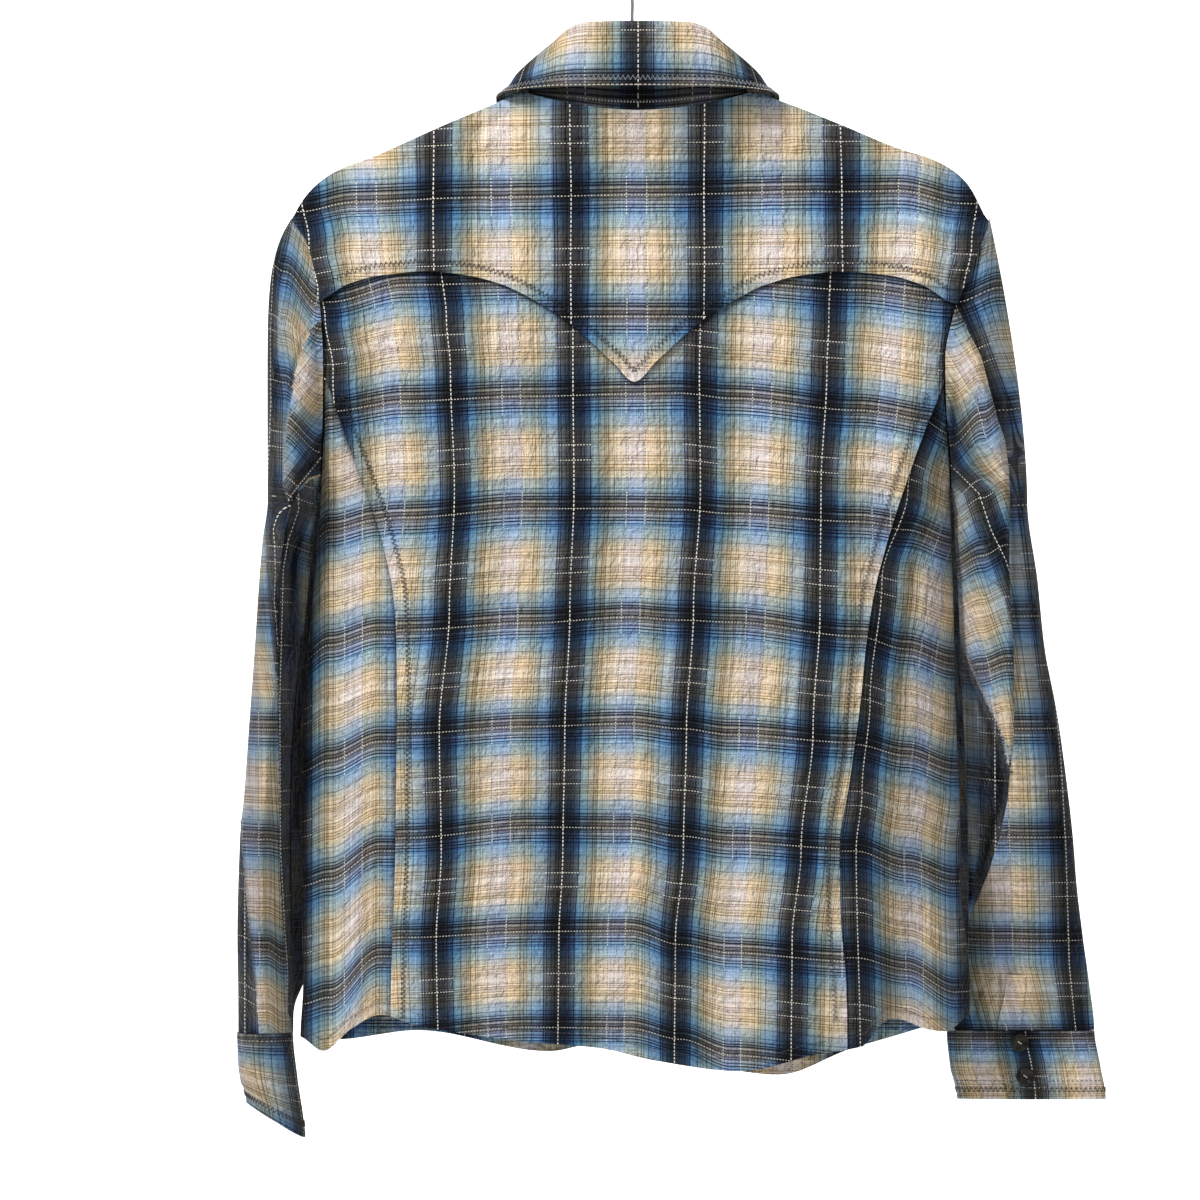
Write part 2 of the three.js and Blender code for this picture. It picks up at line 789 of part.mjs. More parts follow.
// The cuff winds once round and on over its own start. turned is in degrees from its upper end,
// and the cloth moves inwards as it goes, so the start lies on top.
function cuffPoint(side, turned, r) {
  const direction = side === "left" ? 1 : -1;
  const angle = radians(CUFF_EDGE_ANGLE[side] + direction * turned);
  const row = cuffRow(side, r);
  const place = sectionPoint(row, angle);
  const next = sectionPoint(row, angle + 1e-3).sub(sectionPoint(row, angle - 1e-3));
  const outwards = new THREE.Vector3(next.y, -next.x, 0).normalize();
  outwards.multiplyScalar(side === "left" ? 1 : -1);
  place.addScaledVector(outwards, CUFF_SPIRAL * (0.5 - turned / 360));
  place.z -= SEAM_TO_CUFF;
  return place;
}

function cuffWall(side) {
  const total = 360 + cuffDegrees(side, CUFF_OVERLAP);
  return wall((c, r) => cuffPoint(side, c * total, r), GRIDS.cuff, { facing: -1 });
}

// The placket lies on the sleeve above the overlap and is made from the sleeve's own points.
function placketWall(side, facing) {
  const [across, down] = GRIDS.sleeve;
  const start = radians(PLACKET.start[side]);
  const width = (2 * Math.PI) / across;
  const length = PLACKET.rows / down;
  const point = (c, r) => sleevePoint(side, start + c * width, 1 - (1 - r) * length);
  return wall(point, [1, PLACKET.rows], { facing, lift: LAP, patch: true });
}

// Buttons

function buttonGeometry() {
  const profile = [
    [0, 0],
    [BUTTON_RADIUS - 0.8, 0],
    [BUTTON_RADIUS, 0.9],
    [BUTTON_RADIUS - 0.5, BUTTON_THICK],
    [BUTTON_RADIUS - 1.9, BUTTON_THICK - 0.1],
    [BUTTON_RADIUS - 2.5, BUTTON_THICK - 0.9],
    [0, BUTTON_THICK - 0.9],
  ];
  const points = profile.map(([radius, height]) => new THREE.Vector2(radius, height));
  return new THREE.LatheGeometry(points, 14);
}

function placeButton(mesh, place, normal, lift) {
  mesh.quaternion.setFromUnitVectors(new THREE.Vector3(0, 1, 0), normal.clone().normalize());
  mesh.position.copy(place).addScaledVector(normal, lift);
  return mesh;
}

// Hanger

function wireSection() {
  const shape = new THREE.Shape();
  const sides = 6;
  for (let i = 0; i < sides; i += 1) {
    const angle = (i / sides) * 2 * Math.PI;
    const corner = [WIRE_RADIUS * Math.cos(angle), WIRE_RADIUS * Math.sin(angle)];
    if (i === 0) shape.moveTo(...corner);
    else shape.lineTo(...corner);
  }
  shape.closePath();
  return shape;
}

function hangerZ(x) {
  return HANGER_NECK_Z - HANGER_SLOPE * Math.abs(x) - HANGER_TILT * x;
}

function wireAlong(points, steps) {
  const path = new THREE.CatmullRomCurve3(points, false, "centripetal");
  return new THREE.ExtrudeGeometry(wireSection(), { steps, bevelEnabled: false, extrudePath: path });
}

function hookPoints() {
  const points = [];
  const radius = HOOK_RADIUS + WIRE_RADIUS;
  for (let degrees = 200; degrees >= -35; degrees -= 23.5) {
    const angle = radians(degrees);
    points.push(new THREE.Vector3(radius * Math.cos(angle), 0, radius * Math.sin(angle) - HOOK_RADIUS));
  }
  points.push(new THREE.Vector3(STEM_X + 4, 0, -HOOK_RADIUS * 2 - 1));
  points.push(new THREE.Vector3(STEM_X, 0, -HOOK_RADIUS * 2 - 8));
  points.push(new THREE.Vector3(STEM_X, 0, -HOOK_RADIUS * 2 - 20));
  points.push(new THREE.Vector3(STEM_X, 0, HANGER_NECK_Z - 1));
  return points;
}

// One side of the frame: from the neck along the shoulder and round the end to the bar.
function shoulderPoints(side) {
  const place = (x, z) => new THREE.Vector3(side * x, 0, z);
  const end = HANGER_REACH;
  const endZ = hangerZ(side * end);
  const points = [new THREE.Vector3(STEM_X, 0, HANGER_NECK_Z + 3)];
  for (const x of [14, 40, 80, 120, 160, end - 8]) points.push(place(x, hangerZ(side * x)));
  points.push(place(end, endZ));
  points.push(place(end + 4.5, endZ - HANGER_BEND * 0.7));
  points.push(place(end + 1, endZ - HANGER_BEND * 1.5));
  points.push(place(end - 9, endZ - HANGER_BEND * 1.75));
  return points;
}

function solidOf(wasm, geometry) {
  const bare = geometry.clone();
  bare.deleteAttribute("normal");
  bare.deleteAttribute("uv");
  const merged = mergeVertices(bare, 1e-4);
  const numProp = 3;
  const vertProperties = new Float32Array(merged.attributes.position.array);
  const triVerts = new Uint32Array(merged.index.array);
  return new wasm.Manifold(new wasm.Mesh({ numProp, vertProperties, triVerts }));
}

function geometryOf(solid) {
  const mesh = solid.getMesh();
  const geometry = new THREE.BufferGeometry();
  geometry.setAttribute("position", new THREE.BufferAttribute(mesh.vertProperties, 3));
  geometry.setIndex(new THREE.BufferAttribute(mesh.triVerts, 1));
  geometry.computeVertexNormals();
  return geometry;
}

async function hangerGeometry() {
  const wasm = await Module();
  wasm.setup();
  const left = shoulderPoints(1);
  const right = shoulderPoints(-1).reverse();
  const hook = solidOf(wasm, wireAlong(hookPoints(), 34));
  const leftSide = solidOf(wasm, wireAlong(left, 26));
  const rightSide = solidOf(wasm, wireAlong(right, 26));
  const barStart = left[left.length - 1].clone().add(new THREE.Vector3(0.5, 0, 0));
  const barEnd = right[0].clone().sub(new THREE.Vector3(0.5, 0, 0));
  const bar = solidOf(wasm, wireAlong([barStart, barEnd], 4));
  return geometryOf(hook.add(leftSide).add(rightSide).add(bar));
}

// The whole shirt

const shirt = new THREE.Group();
const cloth = { color: COLOURS.cloth, roughness: 0.9, metalness: 0, side: THREE.DoubleSide };

function add(name, geometry, looks = cloth) {
  const mesh = new THREE.Mesh(geometry, new THREE.MeshStandardMaterial(looks));
  mesh.name = name;
  shirt.add(mesh);
  return mesh;
}

const yokeCells = [2 * GRIDS.yokeShoulder + GRIDS.yokeNeck, GRIDS.yokeRows];
const centreCells = [GRIDS.centreAcross, GRIDS.centreTop + GRIDS.side[1]];
add("back_yoke", wall(yokePoint, yokeCells, { lift: (c, r) => YOKE_LIFT * smooth(r), half: 1 }));
add("centre_back", wall(centreBackPoint, centreCells));
add("collar_stand", wall(standPoint, GRIDS.stand, { facing: -1 }));
add("collar_fall", wall(fallPoint, GRIDS.fall, { facing: -1, thick: COLLAR_WALL }));
const bandCells = [GRIDS.bandAcross, GRIDS.frontRows];
add("button_band", wall((c, r) => bandPoint(1 - c, r), bandCells, { lift: LAP + 1.5 * SEAM }));

for (const side of ["left", "right"]) {
  const facing = side === "left" ? -1 : 1;
  const frontCells = [GRIDS.frontNeck + GRIDS.frontShoulder, GRIDS.frontRows];
  const turn = 2 * Math.PI;
  add("side_back_" + side, wall((c, r) => sideBackPoint(side, c, r), GRIDS.side, { half: 1 }));
  add("front_" + side, wall((c, r) => frontPoint(side, c, r), frontCells, { facing, half: -1 }));
  add("sleeve_" + side, wall((c, r) => sleevePoint(side, c * turn, r), GRIDS.sleeve, { facing, ring: true }));
  add("placket_" + side, placketWall(side, facing));
  add("cuff_" + side, cuffWall(side));
}

const buttonLooks = { color: COLOURS.button, roughness: 0.35, metalness: 0 };

for (const side of ["left", "right"]) {
  const turned = cuffDegrees(side, BUTTON_FROM_CUFF_EDGE[side]);
  CUFF_BUTTON_ROWS.forEach((row, i) => {
    const place = cuffPoint(side, turned, row);
    const alongC = cuffPoint(side, turned + 1, row).sub(cuffPoint(side, turned - 1, row));
    const alongR = cuffPoint(side, turned, row + 0.02).sub(cuffPoint(side, turned, row - 0.02));
    const normal = alongR.cross(alongC).normalize();
    const button = add("cuff_button_" + side + "_" + (i + 1), buttonGeometry(), buttonLooks);
    placeButton(button, place, normal, SEAM);
  });
}

for (let i = 0; i < FRONT_BUTTONS; i += 1) {
  const z = FRONT_BUTTON_TOP_Z - i * FRONT_BUTTON_PITCH;
  const button = add("front_button_" + (i + 2), buttonGeometry(), buttonLooks);
  const down = bodyPoint(0, z - BUTTON_RADIUS, -1).sub(bodyPoint(0, z + BUTTON_RADIUS, -1));
  const normal = new THREE.Vector3(0, down.z, -down.y).normalize();
  placeButton(button, bodyPoint(0, z, -1), normal, LAP + 3.5 * SEAM);
}
const collarButton = add("front_button_1", buttonGeometry(), buttonLooks);
const collarButtonPlace = standPoint(1, COLLAR_BUTTON_ROW).setX(CENTRE_X);
const standDown = standPoint(1, 1).sub(standPoint(1, 0));
const standNormal = new THREE.Vector3(0, standDown.z, -standDown.y).normalize();
placeButton(collarButton, collarButtonPlace, standNormal, LAP);

const wireLooks = { color: COLOURS.wire, roughness: 0.35, metalness: 1 };
add("hanger", await hangerGeometry(), wireLooks);

export default shirt;
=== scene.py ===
# A plaid western shirt that hangs on a wire hanger, seen from the back.
# Shapes are worked out in millimetres and turned into metres when a mesh is made.
# +Z is up, the shirt's front faces -Y and +X is the wearer's left.

import math

import bpy
import numpy as np
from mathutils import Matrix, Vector


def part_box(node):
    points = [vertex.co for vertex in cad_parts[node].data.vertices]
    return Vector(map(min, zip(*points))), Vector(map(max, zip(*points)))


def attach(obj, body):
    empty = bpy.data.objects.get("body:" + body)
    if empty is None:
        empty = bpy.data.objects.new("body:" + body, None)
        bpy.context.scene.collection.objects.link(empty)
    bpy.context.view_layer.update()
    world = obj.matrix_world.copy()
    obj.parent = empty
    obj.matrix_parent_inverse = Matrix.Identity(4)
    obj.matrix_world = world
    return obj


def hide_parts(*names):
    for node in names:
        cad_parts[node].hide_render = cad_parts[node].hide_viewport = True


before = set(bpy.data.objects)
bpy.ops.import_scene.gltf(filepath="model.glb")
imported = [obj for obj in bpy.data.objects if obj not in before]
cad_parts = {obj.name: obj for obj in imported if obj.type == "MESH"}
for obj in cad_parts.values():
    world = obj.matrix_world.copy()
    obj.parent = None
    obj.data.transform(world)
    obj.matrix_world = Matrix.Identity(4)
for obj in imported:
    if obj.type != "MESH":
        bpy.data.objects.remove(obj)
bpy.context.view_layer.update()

# The photograph: 1200 pixels square, one pixel for each 0.69 mm in the shirt's plane
PIXEL = 0.69
PHOTO_X = 635
PHOTO_Z = -39.8
PHOTO_SIZE = 1200
CAMERA_DISTANCE = 8000

# Cloth
CLOTH = 0.6
DOUBLE = 1.3
FOLDED = 1.5
SEAM = 0.3
WARP_REPEAT = 88.0
WEFT_REPEAT = 77.0

# Body
CENTRE_X = -2
CREST_ROUND = 7
SHOULDER_FLAT = 0.24
SHOULDER_FALL = 75
SIDE_POWER = 5
FRONT_EDGE_X = -14
BAND_WIDTH = 30
BAND_LIFT = 1.9
BAND_THICK = 1.2
YOKE_TIP_X = 0.7
YOKE_LIFT = 2.6
YOKE_LAP = 8
YOKE_HEM = 9
YOKE_LOW_Z = -254.0
PRINCESS_LAP = 1.2
PRINCESS_UNDER = 3
# Cloth folded under beside the princess seams: rise, width, and how far above and below the
# seams' tops it begins
SEAM_RISE = 1.1
SEAM_WIDTH = 9
SEAM_START = 8
# Shares across the yoke and a front where the neck ends, and how closely rows crowd to the top
YOKE_NECK_SHARES = (7 / 26, 19 / 26)
YOKE_CROWD = 1.7
FRONT_NECK_SHARE = 4 / 9
FRONT_CROWD = 1.5
BAND_DROP = 4

# Neck and collar
NECK_HALF_WIDTH = 79
NECK_BACK_DEPTH = 42
NECK_FRONT_DEPTH = 40
NECK_SIDE_Z = -103.5
NECK_BACK_DROP = 14
NECK_FRONT_DROP = 76
NECK_SPREAD = 0.5
NECK_FADE = 60
FOLD_HALF_WIDTH = 75
FOLD_DEPTH = 34
STAND_INSET = 2.2
STAND_TUCK = 2.0
FOOT_INSET = 1.3
STAND_END_ANGLE = 179
FALL_END_ANGLE = 172
FOLD_TUCK = 5.5

# Armholes
ARMHOLE_TOP_Z = -190
ARMHOLE_BOTTOM_Z = -378
ARMHOLE_DEPTH = 24
ARMHOLE_GAP = 0.6
# How far a sleeve's front reaches behind the body's edge, and where that fades out: z, length.
INNER_REACH = 15
REACH_LOW = (-745, 40)
REACH_HIGH = (-365, 28)
CAP_SHARE = 9 / 28
# Share of a sleeve's grid on its hidden front
SLEEVE_FRONT_SHARE = 0.3
# Points this close to a layer's outline, in pixels, move onto it.
SNAP = 1.05
CAP_REACH = {"left": 8, "right": 1.6}

# Cuffs and buttons
CUFF_OVERLAP = 26
CUFF_SPIRAL = 2.0
CUFF_THICK = 1.2
# Ripples at the gathered top of a cuff: depth, and degrees for each radian of their wave
CUFF_RIPPLE = 0.3
CUFF_RIPPLE_TURN = 9
CUFF_DROP = 0.4
# From this angle round a cuff, its back counts as the lower layer.
CUFF_UNDER = 290
# Places across, in pixels: the dark upright on the cuff's back, the plaid's light middle below it
CUFF_DARK = {"left": 296, "right": 1034}
CUFF_LIGHT = {"left": 240, "right": 982}
# The dark level line's distance below its top and the ease of the cloth down it
CUFF_LEVEL = 6
CUFF_EASE = 1.25
BUTTON_THICK = 2.6
CUFF_EDGE_ANGLE = {"left": 288, "right": 108}
CUFF_BUTTON_ROWS = (0.17, 0.66)
BUTTON_FROM_CUFF_EDGE = {"left": 14, "right": 14.5}
PLACKET_LIFT = 1.2
PLACKET_THICK = 0.9
# Shares of a sleeve's round and of its length that a placket takes
PLACKET_ROUND = 1 / 20
PLACKET_LENGTH = 2 / 28
PLACKET_ANGLE = {"left": 270, "right": 90}
FRONT_BUTTONS = 6
FRONT_BUTTON_TOP_Z = -215
FRONT_BUTTON_PITCH = 92
FRONT_BUTTON_LIFT = 2.2
CUFF_BUTTON_LIFT = 0.3

# A button's turned profile and that of its holes: radius, height.
BUTTON_PROFILE = (
    (0, 0), (5.4, 0), (6.15, 0.45), (6.35, 1.1), (6.2, 1.9), (5.8, 2.45), (5.3, 2.6),
    (4.95, 2.45), (4.75, 2.1), (4.45, 2.2), (4.2, 2.35), (3.9, 2.2), (3.7, 1.8), (3.2, 1.55),
    (0, 1.45),
)
HOLE_PROFILE = ((0, 1.3), (0.75, 1.3), (0.95, 1.62), (0.7, 1.6), (0, 1.48))
HOLE_OFF = 1.5

# Hanger
WIRE_RADIUS = 1.15
HOOK_RADIUS = 16
STEM_X = 2
HANGER_NECK_Z = -77.8
HANGER_SLOPE = 0.392
HANGER_TILT = 0.0196
HANGER_REACH = 203
HANGER_BEND = 9
# The twist below the hook: wire radius, distance from the stem, turns, rise
TWIST_RADIUS = 0.9
TWIST_OFF = 2.1
TWIST_TURNS = 4
TWIST_RISE = 9.6

# How many faces each piece has across and down
GRIDS = {
    "back_yoke": (170, 64), "centre_back": (150, 170), "side_back": (34, 160), "front": (70, 150),
    "button_band": (10, 180), "collar_stand": (200, 14), "collar_fall": (210, 40),
    "sleeve": (150, 290), "placket": (8, 30), "cuff": (170, 30),
}

# Stitches: shares of the way down a piece, and distances from a seam
STAND_STITCH_ROWS = (0.78, 0.84)
COLLAR_SEAM_ROW = 0.79
COLLAR_ZIGZAG_ROW = 0.85
COLLAR_EDGE_ROW = 0.955
CUFF_STITCH_ROWS = (0.07, 0.73)
CUFF_ZIGZAG_ROW = 0.86
CUFF_END_ROW = 0.012
SEAM_ZIGZAG = 7
HEM_STITCH = 8
# Where the back's seams of stitches end: x of the yoke's and the hem's, z of the princess seams'
YOKE_STITCH_ENDS = (-212, 210)
HEM_STITCH_ENDS = (-226, 226)
PRINCESS_STITCH_ENDS = (-312, -742)

# Where the plaid starts on pieces that are cut straight
BAND_SHIFT = (44.0, 12)
STAND_SHIFT = -24
COLLAR_SHIFT = 29
PLACKET_SHIFT = 3

# Shares of painted shade, darkening painted into the cloth's colour where shade falls: under the yoke,
# beside seams, under the collar, in the cuffs' gathers and on sides turned from the light
UNDER_YOKE_PAINTED_SHADE = 0.85
SEAM_PAINTED_SHADE = 0.8
# Painted shade over a whole side panel, sleeve or cuff that is turned from the light.
SIDE_PAINTED_SHADE = {"left": 0, "right": 0.28}
INNER_SLEEVE_PAINTED_SHADE = 0.9
SLEEVE_BASE_PAINTED_SHADE = {"left": 0.28, "right": 0.14}
STAND_PAINTED_SHADE = (0.68, 0.45)
COLLAR_SEAM_PAINTED_SHADE = 0.6
COLLAR_FOOT_PAINTED_SHADE = 0.3
CUFF_TOP_PAINTED_SHADE = 0.65
CUFF_PAINTED_SHADE = {"left": 0.3, "right": 0}

# The stage, in metres: half width, behind and in front of the shirt, floor and top
STAGE_SIDE = 9
STAGE_BACK = -12
STAGE_FRONT = 9
STAGE_FLOOR = -1.75
STAGE_TOP = 8
# Lights: name, place, size, power, and the place that they point to
LIGHTS = (
    ("key", (1.8, 1.8, 1.8), 0.8, 104, (0.0, 0.0, -0.42)),
    ("fill", (-2.4, 2.4, 0.4), 2.4, 20, (0.0, 0.0, -0.42)),
    ("backdrop_light", (0.0, -8.8, 3.2), 4.2, 430, (0.0, STAGE_BACK, 0.0)),
)
WORLD_LIGHT = 0.42

# The body's edges by height: the armhole seams above the underarm, the side seams below it.
EDGES = np.array([
    [-757, 231, -231], [-717, 229, -231], [-690, 229.5, -229], [-650, 230, -225],
    [-590, 230.5, -224.3], [-545, 230, -222], [-505, 227, -220.8], [-448, 222, -219.5],
    [-404, 218.5, -218], [-365, 216, -217], [-320, 214.2, -213.4], [-288, 214, -212.6],
    [-254, 216, -219.4], [-225, 220, -230.5], [-206, 226, -239], [-190, 236, -244],
    [-100, 236, -244],
])
# The shoulders' outline: x, z.
SHOULDERS = np.array([
    [-244, -192.5], [-238, -182], [-230.5, -168.3], [-220, -158], [-206, -150.3], [-179, -141.4],
    [-141, -125.5], [-100, -109.5], [-81, -103.5], [77, -102.5], [90, -108.5], [134.6, -127.5],
    [178, -147], [207, -158.5], [221.5, -169], [231.8, -182], [236, -190.5],
])
# Half the distance between front and back, by height: back, front.
DEPTHS = np.array([
    [-760, 42, 40], [-600, 38, 36], [-400, 36, 33], [-250, 31, 28], [-160, 25, 22],
    [-100, 20, 20],
])
# Lower edge of the yoke, by the distance from its tip.
YOKE_EDGE = np.array([
    [0, -304], [15, -290], [36, -270.5], [52, -258], [67, -249], [90, -237.5], [113, -231.3],
    [142, -228.2], [175, -230.8], [197, -237], [222, -250],
])
# The princess seams by height: left, right.
PRINCESS = np.array([
    [-770, 166.5, -144.3], [-720, 166, -143.5], [-664, 164.2, -139.5], [-626, 163.4, -139],
    [-576, 162.8, -146.5], [-521, 162.2, -153.9], [-486, 162.8, -157.3], [-450, 164.9, -162.8],
    [-415, 172, -171.8], [-380, 183, -182.9], [-337, 199.5, -198], [-309, 208.6, -209],
    [-288, 216, -214.6],
])
PRINCESS_TOP_Z = -302
# Above this height the centre back runs out to the armholes.
SEAM_END_Z = -288
# The hems: x, z.
BACK_HEM = np.array([
    [-232, -740], [-214, -750.5], [-201, -749], [-177, -741], [-166, -748], [-157, -760],
    [-123, -766], [-70, -777.4], [-14, -770], [24, -761.6], [88, -755.4], [151, -745.7],
    [175, -738.8], [196, -749], [215, -764], [231.5, -755],
])
FRONT_HEM = np.array([
    [-232, -740], [-205, -748], [-150, -765], [-100, -783], [-40, -774], [30, -762], [60, -767],
    [150, -752], [205, -758], [231.5, -755],
])
# Soft folds that run down to the hem: face (1 back, -1 front), top, x, x at the hem, width, depth.
BODY_FOLDS = (
    (1, -560, 196, 200, 13, 8), (1, -560, 176, 173, 10, -7), (1, -600, 120, 112, 16, -4),
    (1, -560, 62, 58, 22, 4), (1, -620, -20, -30, 24, -4), (1, -600, -84, -92, 22, 5),
    (1, -590, -160, -163, 10, 6), (1, -600, -185, -186, 11, -7), (1, -560, -205, -212, 11, 6),
    (-1, -520, 180, 190, 16, 8), (-1, -560, 130, 136, 18, -6), (-1, -540, 74, 80, 20, 6),
    (-1, -560, -60, -66, 20, -5), (-1, -520, -120, -128, 20, 8), (-1, -560, -170, -178, 16, -6),
)
# Uneven hang of the body's cloth and of the sleeves': seed, length of the waves, depth.
BODY_WAVES = ((3, 80, 2.0), (13, 26, 0.6))
SLEEVE_WAVES = (30, 24, 0.45)
# Short wrinkles on the back: line in pixels, half width, height in mm.
WRINKLES = (
    (((745, 112), (775, 132), (812, 158)), 5, 2.2),
    (((735, 128), (760, 150), (790, 180)), 5, -1.6),
    (((775, 108), (805, 124), (850, 140)), 5, 1.8),
    (((528, 112), (500, 132), (465, 158)), 5, 2.0),
    (((508, 106), (475, 122), (430, 136)), 5, 1.6),
    (((542, 130), (520, 150), (495, 180)), 5, -1.4),
    (((332, 540), (342, 640), (345, 720)), 8, 1.8),
    (((905, 560), (893, 640), (880, 720)), 8, 1.8),
    (((700, 500), (706, 580), (714, 660)), 9, 1.2),
    (((560, 590), (554, 670), (546, 760)), 9, -1.2),
    (((640, 740), (645, 830), (652, 930)), 10, 1.5),
    (((470, 740), (466, 830), (460, 920)), 9, 1.5),
    (((770, 840), (765, 910), (758, 1000)), 9, -2.0),
    (((520, 880), (518, 950), (515, 1020)), 8, 2.0),
    (((352, 410), (346, 455), (340, 510)), 6, -2.0),
    (((935, 410), (940, 455), (945, 510)), 6, -2.0),
    (((338, 322), (345, 350), (350, 400)), 6, 1.8),
    (((930, 322), (926, 350), (922, 400)), 6, 1.8),
    (((600, 400), (590, 470), (586, 540)), 9, 1.0),
    (((430, 380), (436, 460), (438, 540)), 9, -1.2),
    (((800, 380), (796, 450), (790, 540)), 9, 1.2),
    (((385, 300), (380, 330), (378, 370)), 6, 1.0),
    (((860, 300), (866, 330), (868, 370)), 6, 1.0),
    (((430, 600), (424, 700), (420, 800)), 8, 1.2),
    (((812, 620), (808, 720), (800, 820)), 8, 1.4),
)
# Fold line of the collar: angle from the middle of the back, z.
COLLAR_FOLD = np.array([
    [0, -55.8], [26, -56.2], [37, -59.5], [47, -68], [65, -79.5], [90, -91], [120, -112],
    [150, -140], [180, -154],
])
# Lower edge of the collar, by the angle of the fold line above it: x, y, z.
COLLAR_EDGE = np.array([
    [0, 0, 52, -101], [30, 48, 46, -101], [60, 82, 29, -102.5], [85, 94.5, 9, -104],
    [105, 98, -10, -107], [130, 95, -25, -134], [150, 86, -34, -168], [172, 66, -41, -206],
])
# Profile of the collar from its seam to its edge: r, outwards, up, share of the way to the edge.
FALL_ROWS = np.array([
    [0, 0, -5, 0], [0.14, 1.6, 0, 0], [0.28, 6.5, -3, 0], [0.5, 8, -2, 0.25], [1, 0, 0, 1],
])
# Sleeve sections: z, outer x, inner x, back y, front y, lean, dip of the inner side.
SLEEVES = {
    "left": np.array([
        [-385, 254, 220.5, 44, -70, -0.1, 10], [-412, 257.5, 223, 47, -74, -0.15, 8],
        [-440, 260, 225.5, 48, -75, -0.2, 6], [-486, 263, 230, 46, -74, -0.2, 4],
        [-532, 266.3, 234.5, 43, -71, -0.15, 2], [-585, 270, 237, 40, -67, -0.1, 0],
        [-620, 273, 237.5, 37, -63, 0, 0], [-686, 274.6, 236.7, 33, -57, 0.1, 0],
        [-726, 274, 236, 31, -51, 0.1, 0], [-752, 273.9, 236, 29, -47, 0.1, 0],
    ]),
    "right": np.array([
        [-385, -271, -221, 44, -72, 0.1, 10], [-440, -278, -223.5, 42, -76, 0.15, 6],
        [-486, -282.8, -225.5, 40, -77, 0.2, 4], [-532, -291.5, -227.5, 34, -76, 0.25, 2],
        [-585, -299, -230, 24, -75, 0.3, 0], [-620, -303, -231, 14, -73, 0.35, 0],
        [-650, -305.5, -231.5, 4, -71, 0.4, 0], [-686, -310, -231.5, -9, -68, 0.45, 0],
        [-720, -315, -226, -22, -65, 0.4, 0], [-752, -318.8, -216, -33, -59, 0.2, 0],
    ]),
}
# Cuff sections, as for the sleeves.
CUFFS = {
    "left": np.array([
        [-752, 273.9, 236, 29, -47, 0.1, 0], [-776, 273.4, 232.5, 30, -44, 0, 8],
        [-800, 268, 227, 31, -42, -0.1, 24],
    ]),
    "right": np.array([
        [-752, -318.8, -216, -34, -58, 0.15, 0], [-776, -322.6, -218, -34, -57, 0.1, 0],
        [-799.5, -326.4, -223, -34, -56, 0.1, 0],
    ]),
}
# Large sleeve folds: start and end along the sleeve, start and end angle, width, depth.
SLEEVE_FOLDS = {
    "left": (
        (0.04, 0.44, 98, 118, 26, 9), (0.06, 0.62, 62, 50, 18, -6), (0.3, 0.44, 130, 100, 14, -7),
        (0.5, 1, 92, 84, 20, 7), (0.45, 0.98, 40, 48, 15, -5), (0.4, 0.95, 250, 262, 24, 7),
        (0.1, 0.6, 292, 300, 18, -7),
    ),
    "right": (
        (0.06, 0.34, 70, 60, 20, 7), (0.1, 0.72, 46, 42, 12, -7), (0.26, 0.46, 140, 92, 16, -8),
        (0.34, 0.74, 84, 66, 22, 8), (0.62, 0.96, 96, 112, 14, -6), (0.7, 1, 70, 62, 16, 5),
        (0.2, 0.7, 250, 262, 24, 7), (0.1, 0.6, 296, 304, 18, -7),
    ),
}

# The plaid's place on the back, read off the photograph: where the middles of its dark lines run.
# Upright lines, in pixels, at these heights.
YOKE_UPRIGHTS = (
    (120, (292, 434, 570, 704, 840, 986)), (200, (302, 434, 571, 704, 841, 977)),
    (245, (311, 434, 571, 704, 841, 970)), (294, (321, 434, 571, 704, 841, 960)),
    (400, (340, 434, 571, 704, 841, 950)),
)
CENTRE_UPRIGHTS = (
    (260, (314, 441, 573, 700, 830, 962)), (320, (326, 447, 573, 700, 828, 958)),
    (370, (334, 451, 573, 699, 826, 954)), (490, (341, 455, 574, 700, 820, 942)),
    (610, (329, 450, 570, 693, 819, 944)), (730, (317, 440, 565, 686, 812, 936)),
    (850, (320, 442, 563, 683, 800, 920)), (940, (314, 437, 559, 675, 791, 910)),
    (1060, (320, 439, 558, 674, 790, 908)),
)
LEFT_UPRIGHTS = ((370, (200, 296, 414)), (1060, (200, 296, 414)))
RIGHT_UPRIGHTS = (
    (360, (938, 1030, 1130)), (400, (930, 1030, 1130)), (490, (907, 1010, 1120)),
    (580, (881, 992, 1110)), (700, (869, 980, 1095)), (790, (861, 976, 1090)),
    (850, (855, 970, 1085)), (1060, (859, 972, 1085)),
)
# Level lines, in pixels, at these places across.
YOKE_LEVELS = (
    (300, (88, 212, 326)), (355, (76, 203, 320)), (480, (74, 199, 318)), (635, (74, 196, 318)),
    (830, (74, 193, 318)), (900, (74, 192, 318)), (960, (84, 204, 322)),
)
CENTRE_LEVELS = (
    (330, (303, 412, 527, 640, 745, 850, 950, 1046)),
    (405, (286, 402, 518, 630, 733, 837, 936, 1034)),
    (530, (284, 397, 509, 623, 726, 826, 930, 1025)),
    (630, (281, 395, 509, 617, 723, 827, 929, 1026)),
    (680, (281, 394, 510, 620, 728, 835, 943, 1037)),
    (730, (284, 399, 514, 622, 734, 841, 951, 1053)),
    (855, (291, 411, 522, 636, 742, 848, 960, 1064)),
    (950, (301, 424, 536, 652, 758, 866, 974, 1080)),
)
LEFT_LEVELS = (
    (300, (336, 450, 556, 662, 772, 886, 1004)), (330, (305, 418, 530, 645, 760, 878, 996)),
    (380, (290, 403, 520, 632, 741, 850, 955)),
)
RIGHT_LEVELS = (
    (855, (291, 407, 522, 636, 744, 850, 956)), (905, (296, 412, 530, 649, 755, 866, 968)),
    (955, (318, 436, 545, 664, 770, 881, 991)),
)
